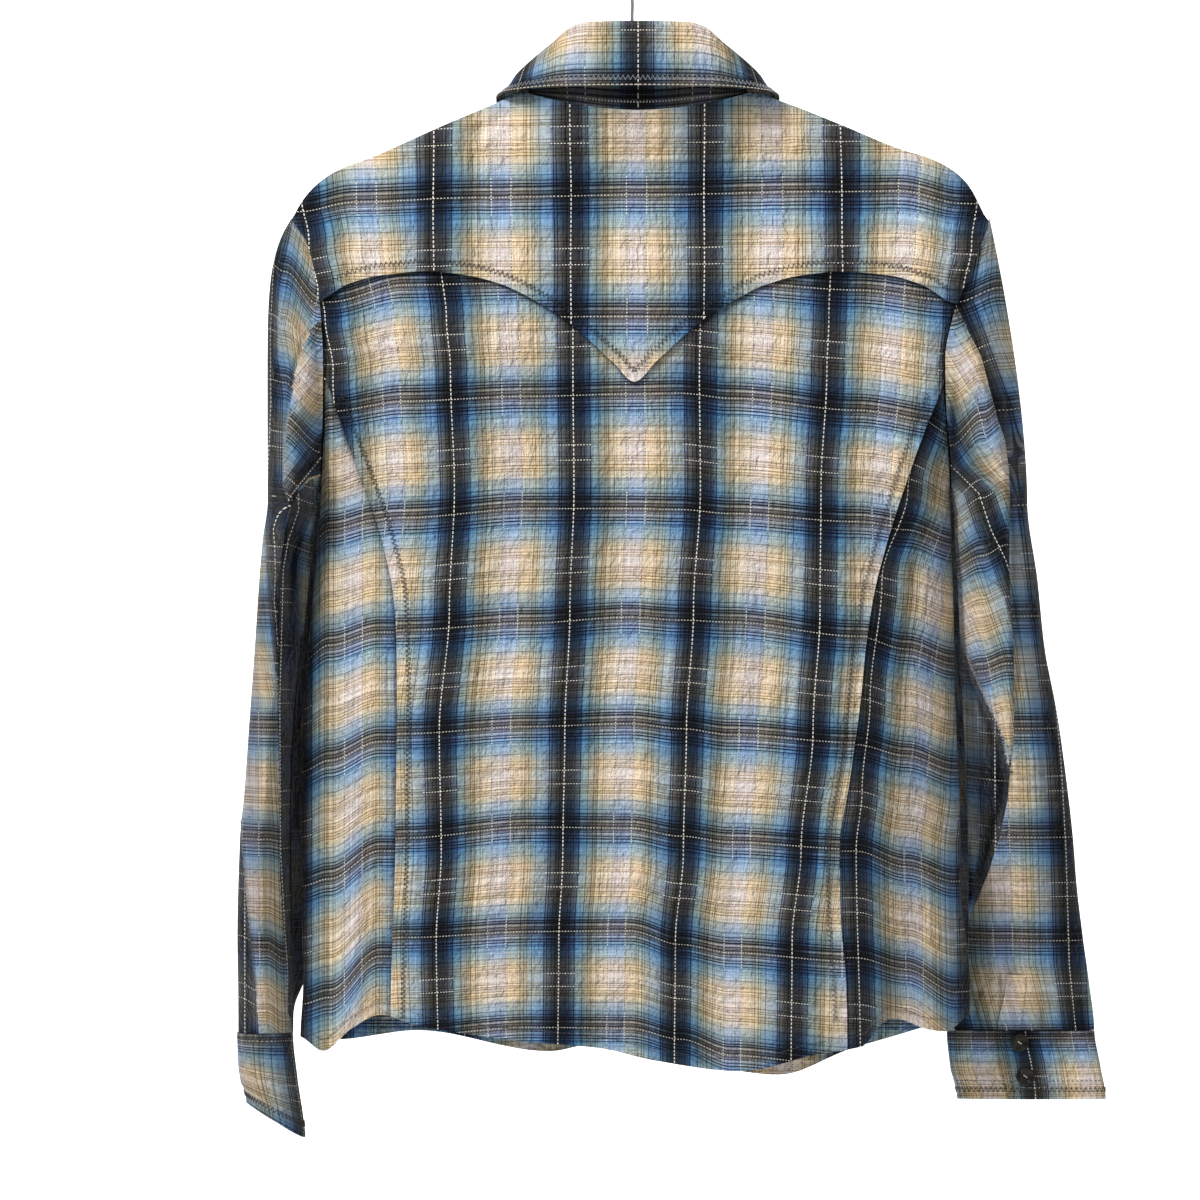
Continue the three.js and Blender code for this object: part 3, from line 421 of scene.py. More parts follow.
# How the plaid lies on each sleeve as the camera sees it. Uprights: a height in pixels, then three
# places across with how many lines have been passed there. Levels as on the back.
SLEEVE_UPRIGHTS = {
    "left": np.array([
        [200, 275, 1.1, 290, 0.95, 320, 0.6], [265, 270, 1.06, 280, 0.9, 318, 0.62],
        [330, 269, 1.04, 280, 0.82, 305, 0.62], [400, 268, 1.04, 276, 0.95, 292, 0.8],
        [480, 267, 1.0, 275, 0.94, 285, 0.86], [530, 262, 0.8, 272, 0.98, 286, 1.1],
        [600, 255, 0.6, 269, 0.86, 278, 1.04], [660, 250, 0.5, 270, 0.74, 280, 0.98],
        [700, 248, 0.46, 272, 0.68, 281, 0.8], [825, 245, 0.44, 261, 0.57, 281, 0.73],
        [925, 247, 0.44, 261, 0.57, 284, 0.74], [1040, 250, 0.44, 263, 0.57, 290, 0.76],
    ]),
    "right": np.array([
        [240, 950, 1.1, 978, 0.9, 998, 0.72], [300, 952, 1.0, 980, 0.82, 1001, 0.7],
        [340, 970, 1.0, 988, 0.86, 1006, 0.72], [400, 990, 1.0, 1002, 0.92, 1014, 0.84],
        [440, 1003, 0.93, 1012, 0.9, 1020, 0.88], [500, 1008, 0.84, 1020, 0.9, 1032, 0.97],
        [560, 1007, 0.8, 1022, 0.87, 1036, 0.96], [620, 1010, 0.74, 1026, 0.85, 1041, 0.96],
        [700, 1012, 0.66, 1034, 0.83, 1055, 1.0], [760, 1011, 0.61, 1036, 0.8, 1064, 1.03],
        [855, 1000, 0.49, 1038, 0.78, 1076, 1.08], [964, 970, 0.22, 1028, 0.67, 1088, 1.14],
        [1030, 975, 0.14, 1034, 0.57, 1098, 1.2],
    ]),
}
SLEEVE_LEVELS = {
    "left": (
        (268, (150, 262, 379, 496, 610, 729, 838, 948, 1050)),
        (285, (155, 272, 383, 497, 612, 729, 841, 958, 1060)),
        (320, (180, 306, 420, 520, 620, 735, 848, 965, 1065)),
    ),
    "right": (
        (955, (190, 303, 425, 512, 616, 728, 837, 941, 1040)),
        (1000, (175, 288, 411, 506, 616, 728, 837, 941, 1040)),
        (1060, (165, 280, 400, 503, 616, 728, 837, 941, 1040)),
    ),
}
# Layers of cloth that fold over or under the rest of a sleeve's back: outline in pixels, height in
# mm, width of the turn in pixels, uprights and levels.
SLEEVE_LAYERS = {
    "left": (
        (
            (
                (326, 314), (312, 327), (304, 343), (296, 367), (290, 405), (284, 452),
                (283, 485), (290, 504), (300, 490), (310, 478), (345, 466), (345, 314),
            ),
            4.5, 5,
            np.array([
                [300, 240, -0.39, 303, 0.05, 366, 0.49], [397, 240, 0.11, 303, 0.55, 366, 0.99],
                [500, 240, 0.65, 303, 1.09, 366, 1.53],
            ]),
            ((284, (180, 300, 424, 545, 660)), (322, (208, 330, 453, 575, 690))),
        ),
        (
            (
                (345, 466), (310, 478), (300, 490), (291, 505), (286, 520), (282, 560),
                (279, 620), (279, 700), (279.5, 800), (280, 880), (283, 930), (286, 965),
                (287, 1010), (300, 1045), (345, 1045),
            ),
            -17, 12,
            np.array([
                [510, 270, 0.7, 300, 1.0, 330, 1.3], [540, 260, 0.7, 290, 1.0, 320, 1.3],
                [570, 255, 0.7, 285, 1.0, 315, 1.35], [700, 252, 0.7, 281.5, 1.0, 311, 1.3],
                [850, 252, 0.7, 281.5, 1.0, 311, 1.3], [925, 255, 0.7, 285, 1.0, 315, 1.3],
                [970, 258, 0.7, 288, 1.0, 318, 1.3],
            ]),
            (
                (288, (430, 545, 645, 746, 848, 957, 1064)),
                (315, (438, 553, 653, 754, 856, 965, 1072)),
            ),
        ),
        (
            (
                (220, 812), (239, 812), (243, 850), (247, 895), (252, 940), (257, 985),
                (261, 1040), (220, 1045),
            ),
            -3.5, 3,
            np.array([
                [800, 225, 1.2, 240, 1.05, 262, 0.85], [1040, 225, 1.2, 240, 1.05, 262, 0.85],
            ]),
            ((240, (712, 825, 935, 1043)), (262, (720, 833, 943, 1051))),
        ),
    ),
    "right": (
        (
            (
                (957, 309), (968, 335), (980, 358), (988, 390), (995, 418), (1003, 440),
                (1007, 470), (1008, 500), (1007, 560), (1008, 600), (1011, 650), (1012, 700),
                (1012, 745), (1009, 775), (1000, 735), (985, 700), (968, 660), (957, 620),
                (945, 598), (900, 580), (900, 309),
            ),
            4.5, 5,
            np.array([
                [300, 868, 0.0, 923, 0.5, 1000, 1.1], [400, 870, -0.48, 925, 0.0, 985, 0.52],
                [445, 882, -0.48, 937, 0.0, 997, 0.52], [467, 896, -0.48, 951, 0.0, 1011, 0.52],
                [494, 922, -0.48, 977, 0.0, 1037, 0.52], [531, 934, -0.48, 989, 0.0, 1049, 0.52],
                [560, 948, -0.48, 1003, 0.0, 1063, 0.52], [600, 958, -0.5, 1018, 0.0, 1078, 0.5],
                [660, 978, -0.5, 1038, 0.0, 1098, 0.5], [780, 1000, -0.5, 1060, 0.0, 1120, 0.5],
            ]),
            (
                (950, (190, 312, 446, 570, 682, 790)), (980, (180, 302, 421, 556, 671, 780)),
                (1005, (172, 294, 405, 545, 663, 775)),
            ),
        ),
        (
            (
                (957, 620), (968, 660), (985, 700), (1000, 735), (1009, 772), (1007, 800),
                (1000, 835), (990, 870), (977, 905), (967, 935), (940, 960), (900, 960),
                (900, 620),
            ),
            -11, 6,
            np.array([
                [600, 934, -0.5, 992, 0.0, 1050, 0.5], [840, 938, -0.5, 996, 0.0, 1054, 0.5],
                [960, 930, -0.5, 988, 0.0, 1046, 0.5],
            ]),
            ((950, (560, 668, 776, 884, 990)), (1010, (564, 672, 781, 888, 994))),
        ),
    ),
}
# Rounded ridges and valleys on the sleeves' backs: line in pixels, half width, height in mm.
SLEEVE_RIDGES = {
    "left": (
        (((322, 459), (306, 468), (293, 481)), 4, -2.5),
        (((318, 345), (306, 380), (298, 430)), 8, 2.5),
        (((274, 300), (276, 400), (274, 480)), 5, 1.5),
        (((288, 240), (300, 270), (312, 300)), 6, 1.5),
        (((262, 560), (255, 700), (260, 850), (272, 1000)), 10, 3),
        (((247, 640), (246, 740)), 6, -1.2), (((270, 900), (278, 1020)), 5, -1.5),
        (((300, 540), (302, 640)), 6, 2),
    ),
    "right": (
        (((944, 395), (955, 435), (972, 468), (990, 492), (1003, 522)), 8, -5),
        (((962, 350), (972, 395), (985, 440), (998, 475)), 8, 3),
        (((950, 480), (962, 500), (978, 535), (985, 580)), 9, 3),
        (((960, 600), (975, 625), (1000, 640)), 8, -2.5),
        (
            ((1012, 760), (1020, 800), (1026, 880), (1031, 940), (1034, 1000), (1030, 1022)),
            7, 3.5,
        ),
        (((1042, 790), (1048, 900), (1052, 1010)), 8, -2.5),
        (((1060, 900), (1068, 1020)), 7, 1.5),
        (((1005, 850), (1010, 930), (1014, 1020)), 8, -2.5),
        (((985, 900), (992, 960), (1000, 1018)), 6, 2.5), (((981, 985), (983, 1030)), 3, -1.5),
        (((1045, 990), (1043, 1030)), 3, -1.5), (((1058, 985), (1060, 1030)), 3, 1.2),
        (((1080, 990), (1084, 1030)), 3, -1.5), (((985, 235), (996, 300), (1003, 360)), 8, 1.5),
        (((1028, 560), (1040, 700)), 6, 1.2),
    ),
}

# Painted shade in the creases of the sleeves' backs: line in pixels, half width, share.
SLEEVE_PAINTED_SHADES = {
    "left": (
        (((302, 470), (298, 520), (297, 560), (297, 700), (298, 850), (300, 1010)), 9, 1.0),
        (((322, 462), (306, 470), (293, 484)), 6, 0.75),
        (((324, 312), (311, 326), (302, 343), (294, 367), (288, 405), (281, 460)), 3.5, 0.6),
        (((239, 815), (243, 850), (247, 895), (252, 940), (257, 985), (261, 1030)), 2.5, 0.45),
        (((262, 480), (266, 430), (268, 380)), 5, 0.4),
        (((258, 520), (252, 700), (258, 850), (268, 1030)), 20, 0.45),
    ),
    "right": (
        (((1011, 757), (1003, 790), (992, 830), (980, 880), (969, 922)), 5, 0.85),
        (((968, 640), (974, 720), (978, 800), (975, 870)), 15, 0.45),
        (((958, 630), (962, 700)), 4, 0.6), (((966, 840), (966, 908)), 7, 0.9),
        (((960, 640), (985, 717), (1003, 765)), 4, 0.5),
        (((1000, 430), (1010, 480), (1011, 560), (1014, 650), (1015, 760)), 4, 0.5),
        (((955, 320), (952, 420), (953, 560), (957, 700), (961, 860), (968, 1000)), 5, 0.7),
        (((1001, 968), (1002, 1000), (1003, 1034)), 3, 0.6),
        (((984, 985), (979, 1010), (977, 1032)), 4, 0.5),
        (((1020, 250), (1042, 600), (1070, 1040)), 45, 0.32),
        (((1045, 1005), (1043, 1036)), 4, 0.4), (((1080, 1000), (1085, 1036)), 8, 0.45),
        (((944, 395), (955, 435), (972, 468), (990, 492)), 6, 0.45),
    ),
}


# Numbers and tables

def mix(a, b, share):
    return a + (b - a) * share


def smooth(value):
    t = np.clip(value, 0.0, 1.0)
    return t * t * (3 - 2 * t)


def look(rows, column, at):
    """A column's value at any key, on a smooth curve through the rows, held at the two ends."""
    rows = rows[np.argsort(rows[:, 0])]
    keys = rows[:, 0].astype(float)
    values = rows[:, column].astype(float)
    steps = np.diff(values) / np.diff(keys)
    slopes = np.zeros(len(keys))
    both = steps[:-1] * steps[1:]
    total = steps[:-1] + steps[1:]
    same = both > 0
    slopes[1:-1][same] = 2 * both[same] / total[same]
    at = np.clip(at, keys[0], keys[-1])
    i = np.clip(np.searchsorted(keys, at, side="right") - 1, 0, len(keys) - 2)
    span = keys[i + 1] - keys[i]
    t = (at - keys[i]) / span
    leave = slopes[i] * span * t * (1 - t) ** 2
    arrive = slopes[i + 1] * span * t * t * (1 - t)
    return mix(values[i], values[i + 1], smooth(t)) + leave - arrive


def pixel_x(x):
    return PHOTO_X - x / PIXEL


def pixel_y(z):
    return (PHOTO_Z - z) / PIXEL


def pixels(points):
    """Where the camera sees points, in pixels of the photograph."""
    return pixel_x(points[..., 0]), pixel_y(points[..., 2])


def steps_along(points):
    """Distance along a line of points, from its first point."""
    steps = np.linalg.norm(np.diff(points, axis=0), axis=1)
    return np.concatenate([[0], np.cumsum(steps)])


def spot(u, v):
    """The place in the shirt's plane, x and z in mm, of a pixel of the photograph."""
    return (PHOTO_X - u) * PIXEL, PHOTO_Z - v * PIXEL


def grid(across, down):
    c, r = np.meshgrid(np.linspace(0, 1, across + 1), np.linspace(0, 1, down + 1))
    return c, r


# The body's surface

def edge_at(side, z):
    return look(EDGES, 1 if side == "left" else 2, z)


def neck_seam_z(x, face):
    rest = np.maximum(1 - ((x - CENTRE_X) / NECK_HALF_WIDTH) ** 2, 0)
    drop = NECK_BACK_DROP * rest if face > 0 else NECK_FRONT_DROP * rest ** 0.75
    return NECK_SIDE_Z - drop


def panel_top_z(x, face):
    in_neck = np.abs(x - CENTRE_X) < NECK_HALF_WIDTH
    return np.where(in_neck, neck_seam_z(x, face), look(SHOULDERS, 1, x))


def off_line(line, px, py):
    """Distance in pixels from a line of points, and the share of its length at the nearest place."""
    line = np.asarray(line, float)
    lengths = np.linalg.norm(np.diff(line, axis=0), axis=1)
    best = np.full(px.shape, 1e9)
    share = np.zeros(px.shape)
    done = 0.0
    for a, b, length in zip(line[:-1], line[1:], lengths):
        t = ((px - a[0]) * (b[0] - a[0]) + (py - a[1]) * (b[1] - a[1])) / length ** 2
        t = np.clip(t, 0, 1)
        off = np.hypot(px - mix(a[0], b[0], t), py - mix(a[1], b[1], t))
        nearer = off < best
        best = np.where(nearer, off, best)
        share = np.where(nearer, (done + t * length) / lengths.sum(), share)
        done += length
    return best, share


def inside(outline, px, py):
    """Distance in pixels from an outline, above zero inside it."""
    closed = np.asarray(outline + outline[:1], float)
    off = off_line(closed, px, py)[0]
    odd = np.zeros(px.shape, bool)
    for a, b in zip(closed[:-1], closed[1:]):
        if a[1] == b[1]:
            continue
        crosses = (a[1] > py) != (b[1] > py)
        odd ^= crosses & (px < a[0] + (py - a[1]) * (b[0] - a[0]) / (b[1] - a[1]))
    return np.where(odd, off, -off)


def ridge_height(ridges, px, py):
    total = np.zeros_like(px)
    for line, width, height in ridges:
        off, share = off_line(line, px, py)
        fade = smooth(share / 0.2) * smooth((1 - share) / 0.2)
        total += height * fade * np.exp(-(off / width) ** 2)
    return total


def soft_waves(x, z, seed, length, depth):
    """Gentle unevenness of hanging cloth, longer down than across."""
    rng = np.random.default_rng(seed)
    total = np.zeros_like(x)
    for _ in range(9):
        turn = rng.uniform(-0.45, 0.45)
        size = length * rng.uniform(0.6, 1.6)
        phase = rng.uniform(0, 2 * math.pi)
        total += np.sin((x * math.cos(turn) + z * math.sin(turn) * 0.7) * 2 * math.pi / size + phase)
    return total * depth / 3


def fold_depth(x, z, face):
    total = np.zeros_like(x)
    for side, top, start_x, hem_x, width, depth in BODY_FOLDS:
        if side != face:
            continue
        share = (top - z) / (top - BACK_HEM[0][1])
        off = (x - mix(start_x, hem_x, share)) / width
        total += depth * smooth(share) * np.exp(-off * off)
    for seed, length, depth in BODY_WAVES:
        total += soft_waves(x, z, seed + face, length, depth)
    if face > 0:
        total += ridge_height(WRINKLES, pixel_x(x), pixel_y(z))
    return total


def body_depth(x, z, face):
    """Distance from the middle plane to the cloth, rounded at sides, shoulders and neck."""
    left = edge_at("left", z)
    right = edge_at("right", z)
    side = np.minimum(np.abs((2 * x - left - right) / (left - right)), 1)
    across = np.sqrt(np.maximum(1 - side ** SIDE_POWER, 0))
    middle = (ARMHOLE_TOP_Z + ARMHOLE_BOTTOM_Z) / 2
    off = (z - middle) / (ARMHOLE_TOP_Z - middle)
    rim = ARMHOLE_DEPTH * np.sqrt(np.maximum(1 - off * off, 0))
    full = look(DEPTHS, 1 if face > 0 else 2, z)
    below = np.maximum(look(SHOULDERS, 1, x) - z, 0)
    turned = np.sqrt(1 - (1 - np.minimum(below / CREST_ROUND, 1)) ** 2)
    opened = mix(SHOULDER_FLAT, 1, 1 - np.exp(-below / SHOULDER_FALL))
    hang = rim + np.maximum(full - rim, 0) * across * turned * opened
    from_neck = np.maximum(panel_top_z(x, face) - z, 0)
    neck_width = NECK_HALF_WIDTH + NECK_SPREAD * from_neck
    neck_rest = np.maximum(1 - ((x - CENTRE_X) / neck_width) ** 2, 0)
    neck_depth = NECK_BACK_DEPTH if face > 0 else NECK_FRONT_DEPTH
    neck = neck_depth * np.sqrt(neck_rest) * np.exp(-from_neck / NECK_FADE)
    return np.cbrt(hang ** 3 + neck ** 3) + fold_depth(x, z, face) * across * turned


def body_place(x, z, face):
    return np.stack([x, face * np.maximum(body_depth(x, z, face), SEAM / 2), z], axis=-1)


def between_lines(share, down, right_x, left_x, top_z, bottom_z, face):
    """Places on the body at shares across and down a panel. Its sides depend on z and its top and
    bottom on x, so each is worked out from the other a few times."""
    start = top_z(np.zeros_like(share))
    x = mix(right_x(start), left_x(start), share)
    z = start
    for _ in range(8):
        z = mix(top_z(x), bottom_z(x), down)
        x = mix(right_x(z), left_x(z), share)
    return body_place(x, z, face)


def yoke_edge_z(x):
    return look(YOKE_EDGE, 1, np.abs(x - YOKE_TIP_X))


def yoke_points(c, r):
    left = edge_at("left", ARMHOLE_TOP_Z)
    right = edge_at("right", ARMHOLE_TOP_Z)
    corners = [(CENTRE_X + k * NECK_HALF_WIDTH - right) / (left - right) for k in (-1, 1)]
    top_share = np.interp(c, [0, *YOKE_NECK_SHARES, 1], [0, *corners, 1])
    low_left = edge_at("left", YOKE_LOW_Z)
    low_right = edge_at("right", YOKE_LOW_Z)
    tip = (YOKE_TIP_X - low_right) / (low_left - low_right)
    bottom_share = c + (tip - 0.5) * 4 * c * (1 - c)
    return between_lines(
        mix(top_share, bottom_share, r), r ** YOKE_CROWD,
        lambda z: edge_at("right", z), lambda z: edge_at("left", z),
        lambda x: panel_top_z(x, 1), yoke_edge_z, 1,
    )


def seam_x(side, z):
    return look(PRINCESS, 1 if side == "left" else 2, z)


def centre_back_points(c, r):
    def side(name, z):
        edge = edge_at(name, z)
        away = 1 if name == "left" else -1
        seam = seam_x(name, z) + away * PRINCESS_LAP
        inner = np.where(np.abs(seam) < np.abs(edge), seam, edge)
        return np.where(z > SEAM_END_Z, edge, inner)

    return between_lines(
        c, r,
        lambda z: side("right", z), lambda z: side("left", z),
        lambda x: yoke_edge_z(x) + YOKE_LAP, lambda x: look(BACK_HEM, 1, x), 1,
    )


def side_back_points(side, c, r):
    left = side == "left"
    inwards = -1 if left else 1

    def seam(z):
        return seam_x(side, z) + inwards * PRINCESS_UNDER

    def edge(z):
        return edge_at(side, z)

    return between_lines(
        1 - (1 - c) ** 2 if left else c * c, r,
        seam if left else edge, edge if left else seam,
        lambda x: np.full_like(x, PRINCESS_TOP_Z), lambda x: look(BACK_HEM, 1, x), 1,
    )


def front_points(side, c, r):
    left = side == "left"
    away = 1 if left else -1
    inner = FRONT_EDGE_X + away * SEAM
    corner = CENTRE_X + away * NECK_HALF_WIDTH
    corner_share = (corner - inner) / (edge_at(side, ARMHOLE_TOP_Z) - inner)
    top_share = np.interp(c, [0, FRONT_NECK_SHARE, 1], [0, corner_share, 1])
    share = mix(top_share, np.sin(c * math.pi / 2), smooth(r * 2))

    def closing(z):
        return np.full_like(z, inner)

    def edge(z):
        return edge_at(side, z)

    return between_lines(
        share if left else 1 - share, r ** FRONT_CROWD,
        closing if left else edge, edge if left else closing,
        lambda x: panel_top_z(x, -1), lambda x: look(FRONT_HEM, 1, x), -1,
    )


def band_points(c, r):
    x = mix(-BAND_WIDTH / 2, BAND_WIDTH / 2, c)
    z = mix(neck_seam_z(x, -1) - BAND_DROP, look(FRONT_HEM, 1, x), r ** FRONT_CROWD)
    return body_place(x, z, -1)


# The collar's surface

def ring(degrees, half_width, depth, z):
    angle = np.radians(degrees)
    x = CENTRE_X + half_width * np.sin(angle)
    return np.stack([x, depth * np.cos(angle), z + 0 * x], axis=-1)


def fold_points(degrees):
    return ring(degrees, FOLD_HALF_WIDTH, FOLD_DEPTH, look(COLLAR_FOLD, 1, np.abs(degrees)))


def stand_points(c, r):
    degrees = mix(-STAND_END_ANGLE, STAND_END_ANGLE, c)
    top = fold_points(degrees)
    top[..., 2] -= FOLD_TUCK
    depth = np.where(np.abs(degrees) < 90, NECK_BACK_DEPTH, NECK_FRONT_DEPTH) - STAND_INSET
    x = CENTRE_X + NECK_HALF_WIDTH * np.sin(np.radians(degrees))
    z = np.where(np.abs(degrees) < 90, neck_seam_z(x, 1), neck_seam_z(x, -1)) - STAND_TUCK
    foot = ring(degrees, NECK_HALF_WIDTH - STAND_INSET - FOOT_INSET, depth - FOOT_INSET, z)
    return mix(top, foot, r[..., None])


def fall_points(c, r):
    degrees = mix(-FALL_END_ANGLE, FALL_END_ANGLE, c)
    start = fold_points(degrees)
    size = np.abs(degrees)
    edge = np.stack([
        CENTRE_X + np.sign(degrees) * look(COLLAR_EDGE, 1, size),
        look(COLLAR_EDGE, 2, size),
        look(COLLAR_EDGE, 3, size),
    ], axis=-1)
    outwards = ring(degrees, 1, 1, 0)
    outwards[..., 0] -= CENTRE_X
    start = start + outwards * look(FALL_ROWS, 1, r)[..., None]
    start[..., 2] += look(FALL_ROWS, 2, r)
    return mix(start, edge, look(FALL_ROWS, 3, r)[..., None])


# Sleeves and cuffs

def section_points(rows, z, angle):
    """Places round a sleeve or cuff at heights; the angle is 0 on its outer line."""
    outer, inner, back, front, lean, dip = (look(rows, k, z) for k in range(1, 7))
    x = mix(inner, outer, (1 + np.cos(angle)) / 2)
    y = (back + front) / 2 + (back - front) / 2 * np.sin(angle + lean)
    behind = 2 * np.maximum(-np.sin(angle), 0) * np.maximum(-np.cos(angle), 0)
    fade = smooth((z - REACH_LOW[0]) / REACH_LOW[1]) * smooth((REACH_HIGH[0] - z) / REACH_HIGH[1])
    x = x - np.sign(outer) * INNER_REACH * behind * fade
    return np.stack([x, y, z - dip * (1 - np.cos(angle)) / 2], axis=-1)


def sleeve_fold(side, angle, along):
    """Depth of the large folds at an angle round a sleeve and a share of the way along it."""
    degrees = np.degrees(angle) % 360
    total = np.zeros_like(angle)
    for start, end, start_angle, end_angle, width, depth in SLEEVE_FOLDS[side]:
        share = (along - start) / (end - start)
        within = (share > 0) & (share < 1)
        off = (degrees - mix(start_angle, end_angle, share)) / width
        fade = np.sin(math.pi * np.clip(share, 0, 1)) ** 0.7
        total += np.where(within, depth * fade * np.exp(-off * off), 0)
    return total


def sleeve_points(side, angle, along):
    """Places on a sleeve: its cap runs from the armhole to the first section."""
    rows = SLEEVES[side]
    top = rows[0][0]
    bottom = rows[-1][0]
    t = np.clip(along / CAP_SHARE, 0, 1) ** 1.5
    reach = 1 - (1 - t) ** mix(1, CAP_REACH[side], (1 + np.cos(angle)) / 2)
    from_z = mix(ARMHOLE_BOTTOM_Z, ARMHOLE_TOP_Z, (1 + np.cos(angle)) / 2)
    gap = ARMHOLE_GAP if side == "left" else -ARMHOLE_GAP
    start = np.stack([edge_at(side, from_z) + gap, ARMHOLE_DEPTH * np.sin(angle), from_z], axis=-1)
    to = section_points(rows, np.full_like(angle, top), angle)
    cap = np.stack([
        mix(start[..., 0], to[..., 0], reach),
        mix(start[..., 1], to[..., 1], t),
        mix(start[..., 2], to[..., 2], t),
    ], axis=-1)
    z = mix(top, bottom, np.clip((along - CAP_SHARE) / (1 - CAP_SHARE), 0, 1))
    tube = section_points(rows, z, angle)
    place = np.where((along < CAP_SHARE)[..., None], cap, tube)
    middle = (look(rows, 3, place[..., 2]) + look(rows, 4, place[..., 2])) / 2
    away = np.where(place[..., 1] > middle, 1, -1)
    place[..., 1] += away * np.abs(np.sin(angle)) * sleeve_fold(side, angle, along)
    return place


def cuff_degrees(side, length):
    """The angle that a length takes along a cuff beside its edge."""
    rows = CUFFS[side]
    z = np.full(2, (rows[0][0] + rows[-1][0]) / 2)
    near = math.radians(CUFF_EDGE_ANGLE[side])
    ends = section_points(rows, z, np.array([near - 0.05, near + 0.05]))
    per_radian = np.linalg.norm(ends[1] - ends[0]) / 0.1
    return math.degrees(length / per_radian)


def cuff_points(side, turned, r):
    """Places on a cuff, which winds slowly inwards so that its end lies under its start."""
    direction = 1 if side == "left" else -1
    rows = CUFFS[side]
    angle = np.radians(CUFF_EDGE_ANGLE[side] + direction * turned)
    z = mix(rows[0][0], rows[-1][0], r)
    place = section_points(rows, z, angle)
    step = section_points(rows, z, angle + 1e-3) - section_points(rows, z, angle - 1e-3)
    out = np.stack([step[..., 1], -step[..., 0], 0 * step[..., 0]], axis=-1)
    out /= np.linalg.norm(out, axis=-1, keepdims=True)
    out *= direction
    place = place + out * (CUFF_SPIRAL * (0.5 - turned / 360))[..., None]
    place[..., 2] -= CUFF_DROP
    return place


# The plaid's place on the cloth

def line_index(chart, key, value):
    """Counts the plaid's lines at value, where the chart gives the lines' places at some keys."""
    keys = np.array([row[0] for row in chart], float)
    lines = np.array([row[1] for row in chart], float)
    key = np.clip(key, keys[0], keys[-1])
    i = np.clip(np.searchsorted(keys, key, side="right") - 1, 0, len(keys) - 2)
    t = ((key - keys[i]) / (keys[i + 1] - keys[i]))[..., None]
    here = mix(lines[i], lines[i + 1], smooth(t))
    value = np.asarray(value, float)
    count = lines.shape[1]
    low = np.clip((value[..., None] > here).sum(-1) - 1, 0, count - 2)
    a = np.take_along_axis(here, low[..., None], -1)[..., 0]
    b = np.take_along_axis(here, low[..., None] + 1, -1)[..., 0]
    return low + (value - a) / (b - a)


def back_grain(points, uprights, levels):
    px, py = pixels(points)
    u = line_index(uprights, py, px) * WARP_REPEAT
    v = line_index(levels, px, py) * WEFT_REPEAT
    return np.stack([u, v], axis=-1)


def front_grain(points):
    u = (points[..., 0] - FRONT_EDGE_X) + WARP_REPEAT / 2
    v = -points[..., 2] - 200
    return np.stack([u, v], axis=-1)


def round_lengths(points):
    """Distance round each row of points, from its first point."""
    steps = np.linalg.norm(np.diff(points, axis=1), axis=-1)
    return np.concatenate([np.zeros((len(points), 1)), np.cumsum(steps, axis=1)], axis=1)


def upright_index(table, px, py):
    x0, i0, x1, i1, x2, i2 = (np.interp(py, table[:, 0], table[:, k]) for k in range(1, 7))
    low = mix(i0, i1, (px - x0) / (x1 - x0))
    high = mix(i1, i2, (px - x1) / (x2 - x1))
    return np.where(px < x1, low, high)


def seen_grain(px, py, uprights, levels, more=0):
    """The plaid's place where a sleeve's chart puts it, moved round by more."""
    u = upright_index(uprights, px, py) * WARP_REPEAT + more
    v = line_index(levels, px, py) * WEFT_REPEAT
    return np.stack([u, v], axis=-1)


def sleeve_grain(side, points, angle):
    """The plaid's place by each chart of a sleeve, and which chart each point takes. The angle is 0
    on the outer line and above zero on the back; points run along each row."""
    lengths = round_lengths(points)
    outer = np.argmin(np.abs(angle[0]))
    beyond = np.abs(lengths - lengths[:, outer:outer + 1])
    px, py = pixels(points)
    px = np.where(angle < 0, px[:, outer:outer + 1], px)
    py = np.where(angle < 0, py[:, outer:outer + 1], py)
    turn = 1 if side == "right" else -1
    more = np.where(angle < 0, turn * beyond, 0)
    charts = [(SLEEVE_UPRIGHTS[side], SLEEVE_LEVELS[side])]
    chart = np.zeros(px.shape, int)
    for number, (outline, _, _, uprights, levels) in enumerate(SLEEVE_LAYERS[side], 1):
        charts.append((uprights, levels))
        chart[inside(outline, px, py) > 0.5] = number
    return np.array([seen_grain(px, py, *lines, more) for lines in charts]), chart


def sleeve_relief(side, points, angle):
    px, py = pixels(points)
    height = ridge_height(SLEEVE_RIDGES[side], px, py)
    for outline, step, rim, *_ in SLEEVE_LAYERS[side]:
        height += step * smooth(inside(outline, px, py) / rim)
    height += soft_waves(points[..., 0], points[..., 2], *SLEEVE_WAVES)
    return height * smooth(np.sin(angle) / 0.45)


def on_outlines(side, points, angle):
    """Moves the grid's points that lie close to a layer's outline onto it, so its edge is clean."""
    points = points.copy()
    for outline, *_ in SLEEVE_LAYERS[side]:
        px, py = pixels(points)
        off = inside(outline, px, py)
        close = (np.abs(off) < SNAP) & (np.sin(angle) > 0.1)
        across = inside(outline, px + 0.2, py) - inside(outline, px - 0.2, py)
        down = inside(outline, px, py + 0.2) - inside(outline, px, py - 0.2)
        size = np.maximum(np.hypot(across, down), 1e-6)
        points[..., 0] += np.where(close, off * across / size * PIXEL, 0)
        points[..., 2] += np.where(close, off * down / size * PIXEL, 0)
    return points


def sleeve_painted_shade(side, points, angle):
    """The share of painted shade: the painted shade lines of the back, painted shade on the side that
    faces the body, and at least the sleeve's base share.
    """
    back = ridge_height(SLEEVE_PAINTED_SHADES[side], *pixels(points)) * smooth((np.sin(angle) + 0.3) / 0.3)
    towards_body = smooth((-np.cos(angle) - 0.1) / 0.3) * smooth((0.2 - np.sin(angle)) / 0.2)
    return np.maximum(np.maximum(back, INNER_SLEEVE_PAINTED_SHADE * towards_body), SLEEVE_BASE_PAINTED_SHADE[side])


